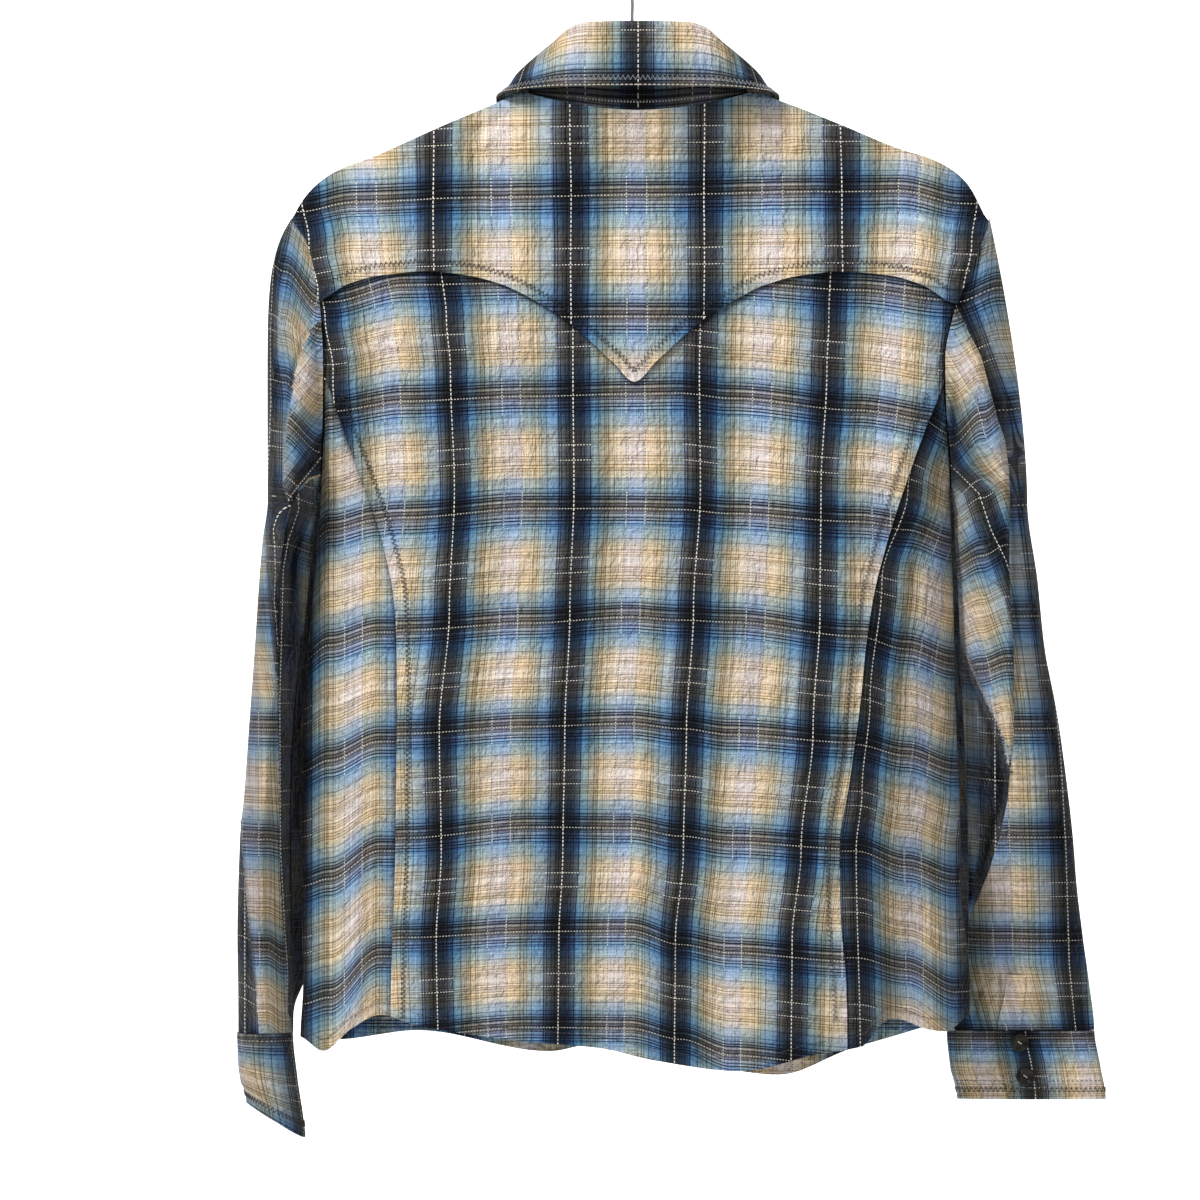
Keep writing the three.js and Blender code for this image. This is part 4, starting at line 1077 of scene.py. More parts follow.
def plain_grain(points, shift_u, shift_v):
    """Cloth cut straight along its own length: across is down the piece, round is along it."""
    lengths = round_lengths(points)
    middle = lengths[:, lengths.shape[1] // 2]
    down = np.linalg.norm(np.diff(points, axis=0), axis=-1).mean(axis=1)
    down = np.concatenate([[0], np.cumsum(down)])
    u = lengths - middle[:, None] + shift_u
    v = np.repeat(down[:, None], points.shape[1], axis=1) + shift_v
    return np.stack([u, v], axis=-1)


# Meshes

def normals_of(points, wrapped=False):
    if wrapped:
        along = np.roll(points[:, :-1], -1, axis=1) - np.roll(points[:, :-1], 1, axis=1)
        along = np.concatenate([along, along[:, :1]], axis=1)
    else:
        along = np.gradient(points, axis=1)
    down = np.gradient(points, axis=0)
    normal = np.cross(along, down)
    size = np.maximum(np.linalg.norm(normal, axis=-1, keepdims=True), 1e-9)
    return normal / size


def new_piece(name, points, faces, material, sharp=50):
    mesh = bpy.data.meshes.new(name)
    mesh.from_pydata((np.asarray(points) / 1000).tolist(), [], faces)
    mesh.polygons.foreach_set("use_smooth", np.ones(len(mesh.polygons), bool))
    mesh.set_sharp_from_angle(angle=math.radians(sharp))
    mesh.materials.append(material)
    piece = bpy.data.objects.new(name, mesh)
    bpy.context.collection.objects.link(piece)
    return piece


def shell_faces(rows, columns, wrapped, facing):
    """The corners of a closed shell's faces, and the places on the grid that they belong to."""
    used = columns - 1 if wrapped else columns
    count = rows * used
    i, j = np.meshgrid(np.arange(columns - 1), np.arange(rows - 1))
    i = i.ravel()
    j = j.ravel()

    def at(a, b):
        return a % used + b * used

    def on(a, b):
        return a + b * columns

    corners = [(i, j), (i, j + 1), (i + 1, j + 1), (i + 1, j)]
    if facing > 0:
        corners = corners[::-1]
    top = np.stack([at(a, b) for a, b in corners], axis=1)
    top_marks = np.stack([on(a, b) for a, b in corners], axis=1)
    faces = [top, top[:, ::-1] + count]
    marks = [top_marks, top_marks[:, ::-1]]

    def rim(a0, b0, a1, b1):
        face = np.stack([at(a0, b0), at(a1, b1), at(a1, b1) + count, at(a0, b0) + count], axis=1)
        mark = np.stack([on(a0, b0), on(a1, b1), on(a1, b1), on(a0, b0)], axis=1)
        faces.append(face[:, ::facing])
        marks.append(mark[:, ::facing])

    a = np.arange(columns - 1)
    first = np.zeros_like(a)
    last = first + rows - 1
    rim(a, first, a + 1, first)
    rim(a + 1, last, a, last)
    if not wrapped:
        b = np.arange(rows - 1)
        left = np.zeros_like(b)
        right = left + columns - 1
        rim(left, b + 1, left, b)
        rim(right, b, right, b + 1)
    return np.concatenate(faces), np.concatenate(marks)


def cloth_piece(name, points, grain, facing=1, lift=0.0, thick=CLOTH, wrapped=False, chart=None,
                painted_shade=0.0):
    """A closed thin shell whose outer face is the grid of points, moved out by lift.
    Where there are several grains, chart says which of them each place takes."""
    normal = normals_of(points, wrapped) * facing
    outer = points + normal * np.asarray(lift)[..., None]
    inner = outer - normal * np.asarray(thick)[..., None]
    rows, columns = points.shape[:2]
    used = columns - 1 if wrapped else columns
    faces, marks = shell_faces(rows, columns, wrapped, facing)
    both = np.concatenate([outer[:, :used].reshape(-1, 3), inner[:, :used].reshape(-1, 3)])
    if chart is None:
        loops = grain.reshape(-1, 2)[marks.ravel()]
    else:
        loops = grain.reshape(len(grain), -1, 2)[chart.ravel()[marks[:, :1]], marks]
    piece = new_piece(name, both, faces.tolist(), plaid)
    layer = piece.data.uv_layers.new(name="Cloth")
    layer.data.foreach_set("uv", (loops / 1000).astype(np.float32).ravel())
    # Each point's share of painted shade, by which the plaid material darkens the colour.
    layer = piece.data.attributes.new("Painted_shade", "FLOAT", "POINT")
    painted_shade = np.clip(np.broadcast_to(painted_shade, (rows, columns))[:, :used].ravel(), 0, 1)
    layer.data.foreach_set("value", np.tile(painted_shade, 2).astype(np.float32))
    piece.data.validate()
    return piece


def tube(points, radius, sides=6):
    """Vertices and faces of a closed tube along points."""
    points = np.asarray(points, float)
    count = len(points)
    forward = np.gradient(points, axis=0)
    forward /= np.linalg.norm(forward, axis=1, keepdims=True)
    up = np.array([0.0, 0.0, 1.0]) if abs(forward[0][2]) < 0.9 else np.array([0.0, 1.0, 0.0])
    radius = np.broadcast_to(radius, count)
    turn = np.arange(sides) * 2 * math.pi / sides
    rings = []
    for k in range(count):
        side = np.cross(forward[k], up)
        side /= np.linalg.norm(side)
        up = np.cross(side, forward[k])
        circle = np.outer(np.cos(turn), side) + np.outer(np.sin(turn), up)
        rings.append(points[k] + radius[k] * circle)
    faces = []
    for k in range(count - 1):
        for s in range(sides):
            a = k * sides + s
            b = k * sides + (s + 1) % sides
            faces.append((a, b, b + sides, a + sides))
    faces.append(tuple(range(sides))[::-1])
    faces.append(tuple((count - 1) * sides + s for s in range(sides)))
    return np.concatenate(rings), faces


def join(parts):
    verts = []
    faces = []
    start = 0
    for part_verts, part_faces in parts:
        verts.append(part_verts)
        faces.extend(tuple(i + start for i in face) for face in part_faces)
        start += len(part_verts)
    return np.concatenate(verts), faces


def mesh_of(name, parts, material, sharp=50):
    verts, faces = join(parts)
    return new_piece(name, verts, faces, material, sharp)


def place_piece(piece, slot, *nodes):
    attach(piece, "root")
    if nodes:
        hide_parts(*nodes)
    return piece


# Stitching

def walk(points, step):
    """Points one step apart along a line of points."""
    points = np.asarray(points, float)
    lengths = steps_along(points)
    count = max(int(lengths[-1] / step), 1)
    at = np.linspace(0, lengths[-1], count + 1)
    return np.stack([np.interp(at, lengths, points[:, k]) for k in range(3)], axis=1)


def sew(name, parts, thread):
    place_piece(mesh_of(name, parts, thread), "plaid_cotton")


def run_stitches(path, normal, stitch=2.5, gap=0.8, radius=0.24):
    """Separate stitches along a path that lies on the cloth."""
    parts = []
    spots = walk(path, stitch + gap)
    half_gaps = np.diff(spots, axis=0) * gap / (stitch + gap) / 2
    outs = normal(spots)
    widths = [radius * 0.7, radius, radius * 0.7]
    for k, half_gap in enumerate(half_gaps):
        out = outs[k]
        a = spots[k] + half_gap
        b = spots[k + 1] - half_gap
        middle = (a + b) / 2 + out * radius * 0.9
        parts.append(tube([a - out * 0.1, middle, b - out * 0.1], widths, 4))
    return parts


def zigzag(path, normal, pitch=3.4, swing=1.7, radius=0.34):
    spots = walk(path, pitch / 2)
    along = np.gradient(spots, axis=0)
    along /= np.linalg.norm(along, axis=1, keepdims=True)
    outs = normal(spots)
    side = np.cross(outs, along)
    sign = np.where(np.arange(len(spots)) % 2, 1, -1)[:, None]
    return [tube(spots + side * swing * sign + outs * radius * 0.6, radius, 4)]


def back_line(line, lift):
    """A line on the back's surface through places given as x and z."""
    line = np.asarray(line, float)
    lengths = steps_along(line)
    at = np.arange(0, lengths[-1], 1.0)
    x = np.interp(at, lengths, line[:, 0])
    z = np.interp(at, lengths, line[:, 1])
    return body_place(x, z, 1) + back_normal(x, z) * lift


def back_normal(x, z):
    d = 1.0
    dx = body_place(x + d, z, 1) - body_place(x - d, z, 1)
    dz = body_place(x, z - d, 1) - body_place(x, z + d, 1)
    normal = np.cross(dx, dz)
    normal *= np.sign(normal[..., 1:2])
    return normal / np.linalg.norm(normal, axis=-1, keepdims=True)


def back_out(places):
    return back_normal(places[:, 0], places[:, 2])


def facing_out(points, normal):
    """A function that gives the normal of the nearest grid point."""
    spots = points.reshape(-1, 3)
    outs = normal.reshape(-1, 3)

    def nearest(places):
        return np.array([outs[np.argmin(((spots - place) ** 2).sum(axis=1))] for place in places])

    return nearest


def grid_line(points, normal, row, lift, start=0.0, end=1.0):
    """A line along a grid of points, at a share of its way down, from one share along to another."""
    place = points + normal * lift
    at = row * (len(place) - 1)
    low = min(int(at), len(place) - 2)
    line = mix(place[low], place[low + 1], at - low)
    last = len(line) - 1
    return line[int(start * last):int(end * last) + 1]


# Materials

def linear(colour):
    return tuple(((v / 255 + 0.055) / 1.055) ** 2.4 if v > 10 else v / 255 / 12.92 for v in colour)


class Nodes:
    """Short names for making and joining a material's nodes."""

    def __init__(self, name):
        self.material = bpy.data.materials.new(name)
        self.material.use_nodes = True
        self.tree = self.material.node_tree
        self.shader = self.tree.nodes["Principled BSDF"]

    def new(self, kind, **settings):
        node = self.tree.nodes.new(kind)
        for key, value in settings.items():
            setattr(node, key, value)
        return node

    def put(self, value, socket):
        if isinstance(value, bpy.types.NodeSocket):
            self.tree.links.new(value, socket)
        else:
            socket.default_value = value

    def math(self, operation, a, b=0.0, c=0.0):
        node = self.new("ShaderNodeMath", operation=operation)
        for socket, value in zip(node.inputs, (a, b, c)):
            self.put(value, socket)
        return node.outputs[0]

    def ramp(self, factor, stops, step=False):
        node = self.new("ShaderNodeValToRGB")
        ramp = node.color_ramp
        ramp.interpolation = "CONSTANT" if step else "LINEAR"
        for k, (place, colour) in enumerate(stops):
            stop = ramp.elements[k] if k < 2 else ramp.elements.new(place)
            stop.position = place
            stop.color = (*linear(colour[:3]), colour[3] if len(colour) > 3 else 1)
        self.put(factor, node.inputs["Fac"])
        return node

    def mix(self, factor, a, b, blend="MIX"):
        node = self.new("ShaderNodeMix", data_type="RGBA", blend_type=blend)
        self.put(factor, node.inputs["Factor"])
        self.put(a, node.inputs["A"])
        self.put(b, node.inputs["B"])
        return node.outputs["Result"]

    def noise(self, vector, scale, detail=2.0, rough=0.5):
        node = self.new("ShaderNodeTexNoise")
        self.put(vector, node.inputs["Vector"])
        self.put(scale, node.inputs["Scale"])
        self.put(detail, node.inputs["Detail"])
        self.put(rough, node.inputs["Roughness"])
        return node.outputs["Fac"]

    def vector(self, operation, a, b):
        node = self.new("ShaderNodeVectorMath", operation=operation)
        self.put(a, node.inputs[0])
        self.put(b, node.inputs[1])
        return node.outputs[0]

    def stretched(self, vector, scale):
        return self.vector("MULTIPLY", vector, scale)

    def place(self):
        return self.new("ShaderNodeTexCoord").outputs["Object"]

    def bump(self, height, distance, strength, under=None):
        node = self.new("ShaderNodeBump")
        self.put(height, node.inputs["Height"])
        self.put(distance, node.inputs["Distance"])
        self.put(strength, node.inputs["Strength"])
        if under is not None:
            self.put(under, node.inputs["Normal"])
        return node.outputs["Normal"]

    def surface(self, values):
        """Sets the shader's inputs by name and gives the material."""
        for name, value in values.items():
            self.put(value, self.shader.inputs[name])
        return self.material


# One repeat of the lengthwise threads, from the middle of one dark line to the next.
WARP_STOPS = (
    (0.0, (76, 80, 88)), (0.05, (84, 86, 92)), (0.085, (98, 104, 116)), (0.118, (112, 124, 138)),
    (0.135, (132, 152, 166)), (0.152, (160, 184, 198)), (0.18, (164, 183, 190)),
    (0.205, (172, 179, 176)), (0.23, (188, 188, 178)), (0.27, (206, 198, 180)),
    (0.3, (226, 217, 200)), (0.34, (232, 223, 208)), (0.4, (238, 230, 218)),
    (0.44, (236, 230, 232)), (0.55, (236, 230, 232)), (0.58, (246, 232, 211)),
    (0.65, (240, 226, 206)), (0.69, (228, 218, 199)), (0.73, (222, 219, 207)),
    (0.76, (202, 208, 208)), (0.79, (194, 206, 214)), (0.83, (182, 198, 212)),
    (0.862, (164, 180, 196)), (0.88, (142, 154, 170)), (0.905, (124, 130, 140)),
    (0.935, (102, 106, 110)), (0.96, (90, 92, 95)), (1.0, (80, 81, 86)),
)
# Thin plain lines among them: place and colour.
WARP_LINES = (
    (0.062, (150, 156, 166)), (0.083, (180, 190, 204)), (0.13, (120, 134, 156)),
    (0.196, (190, 190, 186)), (0.244, (190, 182, 164)), (0.262, (180, 170, 150)),
    (0.276, (196, 184, 160)), (0.318, (206, 194, 172)), (0.336, (206, 194, 172)),
    (0.66, (212, 200, 180)), (0.682, (208, 196, 174)), (0.712, (200, 192, 174)),
    (0.732, (206, 200, 186)), (0.775, (190, 192, 190)), (0.878, (126, 138, 158)),
    (0.897, (150, 158, 172)), (0.938, (150, 152, 156)), (0.966, (160, 160, 164)),
)
WARP_DOTS = (0.418, 0.568)
# The same for the crosswise threads.
WEFT_STOPS = (
    (0.0, (134, 136, 142)), (0.04, (146, 156, 174)), (0.052, (190, 206, 226)),
    (0.062, (176, 192, 214)), (0.075, (128, 146, 172)), (0.084, (132, 150, 176)),
    (0.092, (172, 192, 216)), (0.104, (148, 170, 198)), (0.112, (140, 164, 196)),
    (0.12, (162, 192, 220)), (0.17, (168, 201, 230)), (0.21, (180, 207, 230)),
    (0.25, (186, 208, 226)), (0.285, (202, 211, 216)), (0.33, (222, 220, 212)),
    (0.37, (242, 234, 222)), (0.46, (242, 236, 228)), (0.54, (242, 236, 230)),
    (0.64, (242, 234, 218)), (0.68, (238, 233, 221)), (0.71, (224, 223, 216)),
    (0.76, (194, 209, 222)), (0.81, (182, 204, 222)), (0.838, (170, 194, 214)),
    (0.85, (152, 174, 196)), (0.868, (176, 196, 214)), (0.882, (158, 174, 192)),
    (0.9, (140, 152, 166)), (0.925, (126, 134, 146)), (0.938, (190, 196, 204)),
    (0.95, (128, 132, 140)), (1.0, (134, 136, 142)),
)
WEFT_LINES = (
    (0.018, (160, 162, 168)), (0.046, (122, 130, 142)), (0.08, (120, 132, 150)),
    (0.106, (112, 128, 152)), (0.136, (126, 146, 172)), (0.152, (206, 214, 224)),
    (0.185, (206, 214, 224)), (0.272, (206, 202, 194)), (0.342, (206, 196, 182)),
    (0.377, (196, 184, 166)), (0.404, (196, 184, 166)), (0.421, (204, 192, 174)),
    (0.535, (210, 200, 184)), (0.561, (200, 188, 170)), (0.579, (196, 184, 166)),
    (0.614, (206, 196, 180)), (0.64, (206, 196, 180)), (0.664, (200, 192, 180)),
    (0.735, (200, 208, 214)), (0.82, (190, 202, 214)), (0.864, (128, 146, 168)),
    (0.89, (116, 132, 154)), (0.914, (112, 122, 140)), (0.952, (140, 142, 148)),
    (0.98, (160, 162, 168)),
)
WEFT_DOTS = (0.437, 0.572)
# How strongly the darkest crossings deepen.
DEEPEN = 0.085
# Stretch of the weave's waves, which puts a thread at every 0.56 mm.
WEAVE = 560
# As many lines as one colour ramp can hold, and the lines' widths as shares of the repeat.
RAMP_LINES = 15
WARP_LINE_WIDTH = 0.0065
WEFT_LINE_WIDTH = 0.0095
DOT_WIDTH = 0.0075
# Colour by which the cloth is multiplied where its painted shade is full.
PAINTED_SHADE_COLOUR = (0.05, 0.07, 0.11, 1)
# Unevenness of the threads: scale across and along the cloth.
UNEVEN = ((2600, 40, 1), (40, 2600, 1), (760, 6, 1), (6, 760, 1))
UNEVEN_DEPTH = 0.8
# Distances from the middle of a repeat: where the dark bands begin, and where the white threads
# in their middles do.
DARK_ROW = 0.34
DARK_COLUMN = 0.36
BOLD_FROM = 0.4958
FINE_FROM = 0.4962
# Dashes of the dotted and white threads: pitch in mm, and the share of it that shows.
WARP_DASHES = (2.1, 0.45)
WEFT_DASHES = (2.1, 0.5)
BOLD_DASHES = (2.9, 0.62)
FINE_DASHES = (2.2, 0.5)
# Relief of washed cotton: stretch, detail, roughness and height in metres.
CRINKLES = (((130, 80, 1), 3.0, 0.6, 0.0062), ((420, 300, 1), 2.0, 0.5, 0.0014))


def line_stops(lines, width):
    clear = (255, 255, 255, 0)
    stops = [(0.0, clear)]
    for place, colour in lines:
        stops.append((place - width / 2, (*colour, 1)))
        stops.append((place + width / 2, clear))
    return stops


def dashes(n, along, pitch, share):
    """1 on a dash and 0 between dashes."""
    turn = n.math("FRACT", n.math("DIVIDE", along, pitch / 1000))
    return n.math("LESS_THAN", turn, share)


def near(n, phase, place, width):
    """1 within half the width of a place in the repeat."""
    off = n.math("ABSOLUTE", n.math("SUBTRACT", phase, place))
    return n.math("LESS_THAN", off, width / 2)


def crossed_colour(n, warp, weft):
    """Lengthwise and crosswise threads multiplied, with the thin lines on top."""
    warp_colour = n.ramp(warp, WARP_STOPS).outputs["Color"]
    weft_colour = n.ramp(weft, WEFT_STOPS).outputs["Color"]
    colour = n.mix(1.0, warp_colour, weft_colour, "MULTIPLY")
    sets = ((warp, WARP_LINES, WARP_LINE_WIDTH), (weft, WEFT_LINES, WEFT_LINE_WIDTH))
    for phase, lines, width in sets:
        for first in range(0, len(lines), RAMP_LINES):
            thin = n.ramp(phase, line_stops(lines[first:first + RAMP_LINES], width), step=True)
            shade = n.mix(1.0, colour, thin.outputs["Color"], "MULTIPLY")
            colour = n.mix(thin.outputs["Alpha"], colour, shade)
    return colour


def uneven_threads(n, uv, colour):
    """Darkens and lightens the threads a little along their own direction."""
    for scale in UNEVEN:
        uneven = n.noise(n.stretched(uv, scale), 1.0, 1.0)
        level = n.math("MULTIPLY_ADD", uneven, UNEVEN_DEPTH, 1.0 - UNEVEN_DEPTH / 2)
        grey = n.new("ShaderNodeCombineColor")
        for socket in grey.inputs:
            n.put(level, socket)
        colour = n.mix(1.0, colour, grey.outputs["Color"], "MULTIPLY")
    square = n.vector("MULTIPLY", colour, colour)
    return n.vector("DIVIDE", square, n.vector("ADD", colour, (DEEPEN, DEEPEN, DEEPEN)))


def white_threads(n, u, v, warp, weft, colour):
    """Dotted and dashed threads that float over and under the others."""
    white = (*linear((240, 236, 222)), 1)
    dark = (*linear((92, 82, 78)), 1)
    row = n.math("ABSOLUTE", n.math("SUBTRACT", weft, 0.5))
    on_dark_row = n.math("GREATER_THAN", row, DARK_ROW)
    column = n.math("ABSOLUTE", n.math("SUBTRACT", warp, 0.5))
    on_dark_column = n.math("GREATER_THAN", column, DARK_COLUMN)
    for place in WARP_DOTS:
        dots = n.math("MULTIPLY", near(n, warp, place, DOT_WIDTH), dashes(n, v, *WARP_DASHES))
        thread = n.mix(on_dark_row, dark, white)
        colour = n.mix(n.math("MULTIPLY", dots, 0.75), colour, thread)
    for place in WEFT_DOTS:
        dots = n.math("MULTIPLY", near(n, weft, place, DOT_WIDTH), dashes(n, u, *WEFT_DASHES))
        share = n.math("MULTIPLY_ADD", on_dark_column, 0.4, 0.4)
        thread = n.mix(on_dark_column, dark, white)
        colour = n.mix(n.math("MULTIPLY", dots, share), colour, thread)
    middle = n.math("GREATER_THAN", column, BOLD_FROM)
    bold = n.math("MULTIPLY", middle, dashes(n, v, *BOLD_DASHES))
    colour = n.mix(n.math("MULTIPLY", bold, 0.85), colour, white)
    middle = n.math("GREATER_THAN", row, FINE_FROM)
    fine = n.math("MULTIPLY", middle, dashes(n, u, *FINE_DASHES))
    return n.mix(n.math("MULTIPLY", fine, 0.65), colour, white)


def cloth_relief(n, uv):
    """Crinkles of washed cotton, then the weave itself."""
    relief = None
    for stretch, detail, rough, height in CRINKLES:
        cloud = n.noise(n.stretched(uv, stretch), 1.0, detail, rough)
        relief = n.bump(cloud, height, 1.0, relief)
    threads = []
    for direction in ("X", "Y"):
        wave = n.new("ShaderNodeTexWave", wave_type="BANDS", bands_direction=direction)
        n.put(n.stretched(uv, (WEAVE, WEAVE, 1)), wave.inputs["Vector"])
        n.put(1.0, wave.inputs["Scale"])
        threads.append(wave.outputs["Fac"])
    return n.bump(n.math("MAXIMUM", *threads), 0.00004, 0.3, relief)


def plaid_material():
    n = Nodes("Plaid_cotton")
    uv = n.new("ShaderNodeUVMap", uv_map="Cloth").outputs["UV"]
    parts = n.new("ShaderNodeSeparateXYZ")
    n.put(uv, parts.inputs[0])
    u = parts.outputs["X"]
    v = parts.outputs["Y"]
    warp = n.math("FRACT", n.math("DIVIDE", u, WARP_REPEAT / 1000))
    weft = n.math("FRACT", n.math("DIVIDE", v, WEFT_REPEAT / 1000))
    colour = uneven_threads(n, uv, crossed_colour(n, warp, weft))
    colour = white_threads(n, u, v, warp, weft, colour)
    # Painted shade: the colour is darkened by each point's share of painted shade, standing in for
    # shade in folds, under laps and on sides turned from the light.
    painted_shade = n.new("ShaderNodeAttribute", attribute_name="Painted_shade").outputs["Fac"]
    colour = n.mix(painted_shade, colour, n.mix(1.0, colour, PAINTED_SHADE_COLOUR, "MULTIPLY"))
    return n.surface({
        "Base Color": colour, "Roughness": 0.92, "Sheen Weight": 0.08, "Sheen Roughness": 0.5,
        "Specular IOR Level": 0.12, "Normal": cloth_relief(n, uv),
    })


def thread_material(name, colour):
    n = Nodes(name)
    twist = n.noise(n.place(), 2600.0)
    shade = n.ramp(twist, ((0.3, tuple(int(v * 0.72) for v in colour)), (0.7, colour)))
    relief = n.bump(twist, 0.0002, 0.6)
    return n.surface({"Base Color": shade.outputs["Color"], "Roughness": 0.7, "Normal": relief})


def button_material():
    n = Nodes("Dark_button")
    cloud = n.noise(n.place(), 160.0, 3.0)
    shade = n.ramp(cloud, ((0.35, (16, 14, 10)), (0.7, (40, 36, 26))))
    return n.surface({
        "Base Color": shade.outputs["Color"], "Roughness": 0.3, "Specular IOR Level": 0.25,
        "Coat Weight": 0.1, "Normal": n.bump(cloud, 0.0001, 0.2),
    })


def wire_material():
    n = Nodes("Drawn_wire")
    marks = n.noise(n.stretched(n.place(), (900, 900, 60)), 1.0, 3.0)
    shade = n.ramp(marks, ((0.3, (120, 122, 124)), (0.7, (176, 178, 180))))
    rough = n.math("MULTIPLY_ADD", marks, 0.2, 0.25)
    return n.surface({"Base Color": shade.outputs["Color"], "Metallic": 1.0, "Roughness": rough})


def stage_material():
    n = Nodes("Pale_stage")
    shade = n.ramp(n.noise(n.place(), 0.6), ((0.3, (250, 250, 250)), (0.7, (255, 255, 255))))
    return n.surface({"Base Color": shade.outputs["Color"], "Roughness": 0.95})


plaid = plaid_material()
cream_thread = thread_material("Cream_thread", (226, 218, 200))
grey_thread = thread_material("Grey_thread", (74, 76, 84))
silver_thread = thread_material("Silver_thread", (168, 172, 178))
brown_thread = thread_material("Brown_thread", (74, 66, 60))
button_plastic = button_material()
wire = wire_material()


# Panels of the body

def hem_thick(distance, width, single, folded):
    """Cloth folded under at an edge is thicker there."""
    return mix(folded, single, smooth((distance - width) / 1.5))


def make_yoke():
    c, r = grid(*GRIDS["back_yoke"])
    points = yoke_points(c, r)
    grain = back_grain(points, YOKE_UPRIGHTS, YOKE_LEVELS)
    from_edge = points[..., 2] - yoke_edge_z(points[..., 0])
    lift = YOKE_LIFT * smooth(r) + 0.2
    thick = np.where(r > 0.3, hem_thick(from_edge, YOKE_HEM, CLOTH, FOLDED), CLOTH)
    piece = cloth_piece("back_yoke_cloth", points, grain, lift=lift, thick=thick)
    return place_piece(piece, "plaid_cotton", "back_yoke")


def make_centre_back():
    c, r = grid(*GRIDS["centre_back"])
    points = centre_back_points(c, r)
    grain = back_grain(points, CENTRE_UPRIGHTS, CENTRE_LEVELS)
    x = points[..., 0]
    z = points[..., 2]
    to_seam = np.minimum(seam_x("left", z) - x, x - seam_x("right", z))
    low = smooth((PRINCESS_TOP_Z + SEAM_START - z) / (2 * SEAM_START))
    lift = SEAM_RISE * (1 - smooth((to_seam - SEAM_WIDTH) / 8)) * low
    thick = mix(CLOTH, SEAM_RISE, (1 - smooth((to_seam - SEAM_WIDTH + 1) / 2)) * low)
    # Painted shadow under the yoke's lower edge.
    painted_shade = UNDER_YOKE_PAINTED_SHADE * np.exp(-np.maximum(yoke_edge_z(x) - z, 0) / 2.2)
    piece = cloth_piece("centre_back_cloth", points, grain, lift=lift, thick=thick, painted_shade=painted_shade)
    return place_piece(piece, "plaid_cotton", "centre_back")


def make_side_back(side):
    c, r = grid(*GRIDS["side_back"])
    points = side_back_points(side, c, r)
    uprights = LEFT_UPRIGHTS if side == "left" else RIGHT_UPRIGHTS
    levels = LEFT_LEVELS if side == "left" else RIGHT_LEVELS
    grain = back_grain(points, uprights, levels)
    # Painted shade beside the princess seam's lap, and over the right side panel.
    away = np.abs(points[..., 0]) - np.abs(seam_x(side, points[..., 2])) - PRINCESS_LAP
    painted_shade = np.maximum(SEAM_PAINTED_SHADE * np.exp(-np.maximum(away, 0) / 2.4), SIDE_PAINTED_SHADE[side])
    piece = cloth_piece("side_back_%s_cloth" % side, points, grain, lift=-0.2, painted_shade=painted_shade)
    return place_piece(piece, "plaid_cotton", "side_back_" + side)


def make_front(side):
    points = front_points(side, *grid(*GRIDS["front"]))
    if side == "right":
        points = points[:, ::-1]
    piece = cloth_piece("front_%s_cloth" % side, points, front_grain(points), facing=-1)
    return place_piece(piece, "plaid_cotton", "front_" + side)


def make_band():
    points = band_points(*grid(*GRIDS["button_band"]))
    grain = front_grain(points) + np.array(BAND_SHIFT)
    piece = cloth_piece("button_band_cloth", points, grain, facing=-1, lift=BAND_LIFT, thick=BAND_THICK)
    return place_piece(piece, "plaid_cotton", "button_band")


# Collar

def make_stand():
    c, r = grid(*GRIDS["collar_stand"])
    points = stand_points(c, r)
    grain = plain_grain(points, 0, STAND_SHIFT)
    # Painted shade under the collar's fall, darkest at the fold.
    painted_shade = mix(*STAND_PAINTED_SHADE, r)
    piece = cloth_piece("collar_stand_cloth", points, grain, thick=1.1, painted_shade=painted_shade)
    normal = normals_of(points)
    out = facing_out(points, normal)
    runs = []
    for row in STAND_STITCH_ROWS:
        runs += run_stitches(grid_line(points, normal, row, 0.1, 0.26, 0.74), out, 1.6, 1.0)
    sew("stand_stitches", runs, grey_thread)
    return place_piece(piece, "plaid_cotton", "collar_stand")


def make_fall():
    c, r = grid(*GRIDS["collar_fall"])
    points = fall_points(c, r)
    grain = plain_grain(points, 0, COLLAR_SHIFT)
    # Painted shade along the seam row and on the cloth beyond it.
    below = r - COLLAR_SEAM_ROW
    painted_shade = COLLAR_SEAM_PAINTED_SHADE * np.exp(-(below / 0.02) ** 2) + COLLAR_FOOT_PAINTED_SHADE * smooth(below / 0.1)
    piece = cloth_piece("collar_fall_cloth", points, grain, thick=DOUBLE, painted_shade=painted_shade)
    normal = normals_of(points)
    out = facing_out(points, normal)
    edge = grid_line(points, normal, COLLAR_EDGE_ROW, 0.1, 0.02, 0.98)
    sew("collar_edge_stitches", run_stitches(edge, out, 2.2, 1.0, 0.42), cream_thread)
    line = grid_line(points, normal, COLLAR_ZIGZAG_ROW, 0.15, 0.02, 0.98)
    sew("collar_zigzag", zigzag(line, out), silver_thread)
    return place_piece(piece, "plaid_cotton", "collar_fall")


# Sleeves

def make_sleeve(side):
    c, r = grid(*GRIDS["sleeve"])
    if side == "left":
        angle = np.interp(c, (0, SLEEVE_FRONT_SHARE, 1), (-math.pi, 0, math.pi))
    else:
        angle = np.interp(c, (0, 1 - SLEEVE_FRONT_SHARE, 1), (math.pi, 0, -math.pi))
    points = on_outlines(side, sleeve_points(side, angle, r), angle)
    points[..., 1] += sleeve_relief(side, points, angle)
    grain, chart = sleeve_grain(side, points, angle)
    # Painted shade in the creases, on the side that faces the body and over the whole sleeve.
    painted_shade = sleeve_painted_shade(side, points, angle)
    piece = cloth_piece(
        "sleeve_%s_cloth" % side, points, grain, facing=-1, wrapped=True, chart=chart, painted_shade=painted_shade,
    )
    return place_piece(piece, "plaid_cotton", "sleeve_" + side)


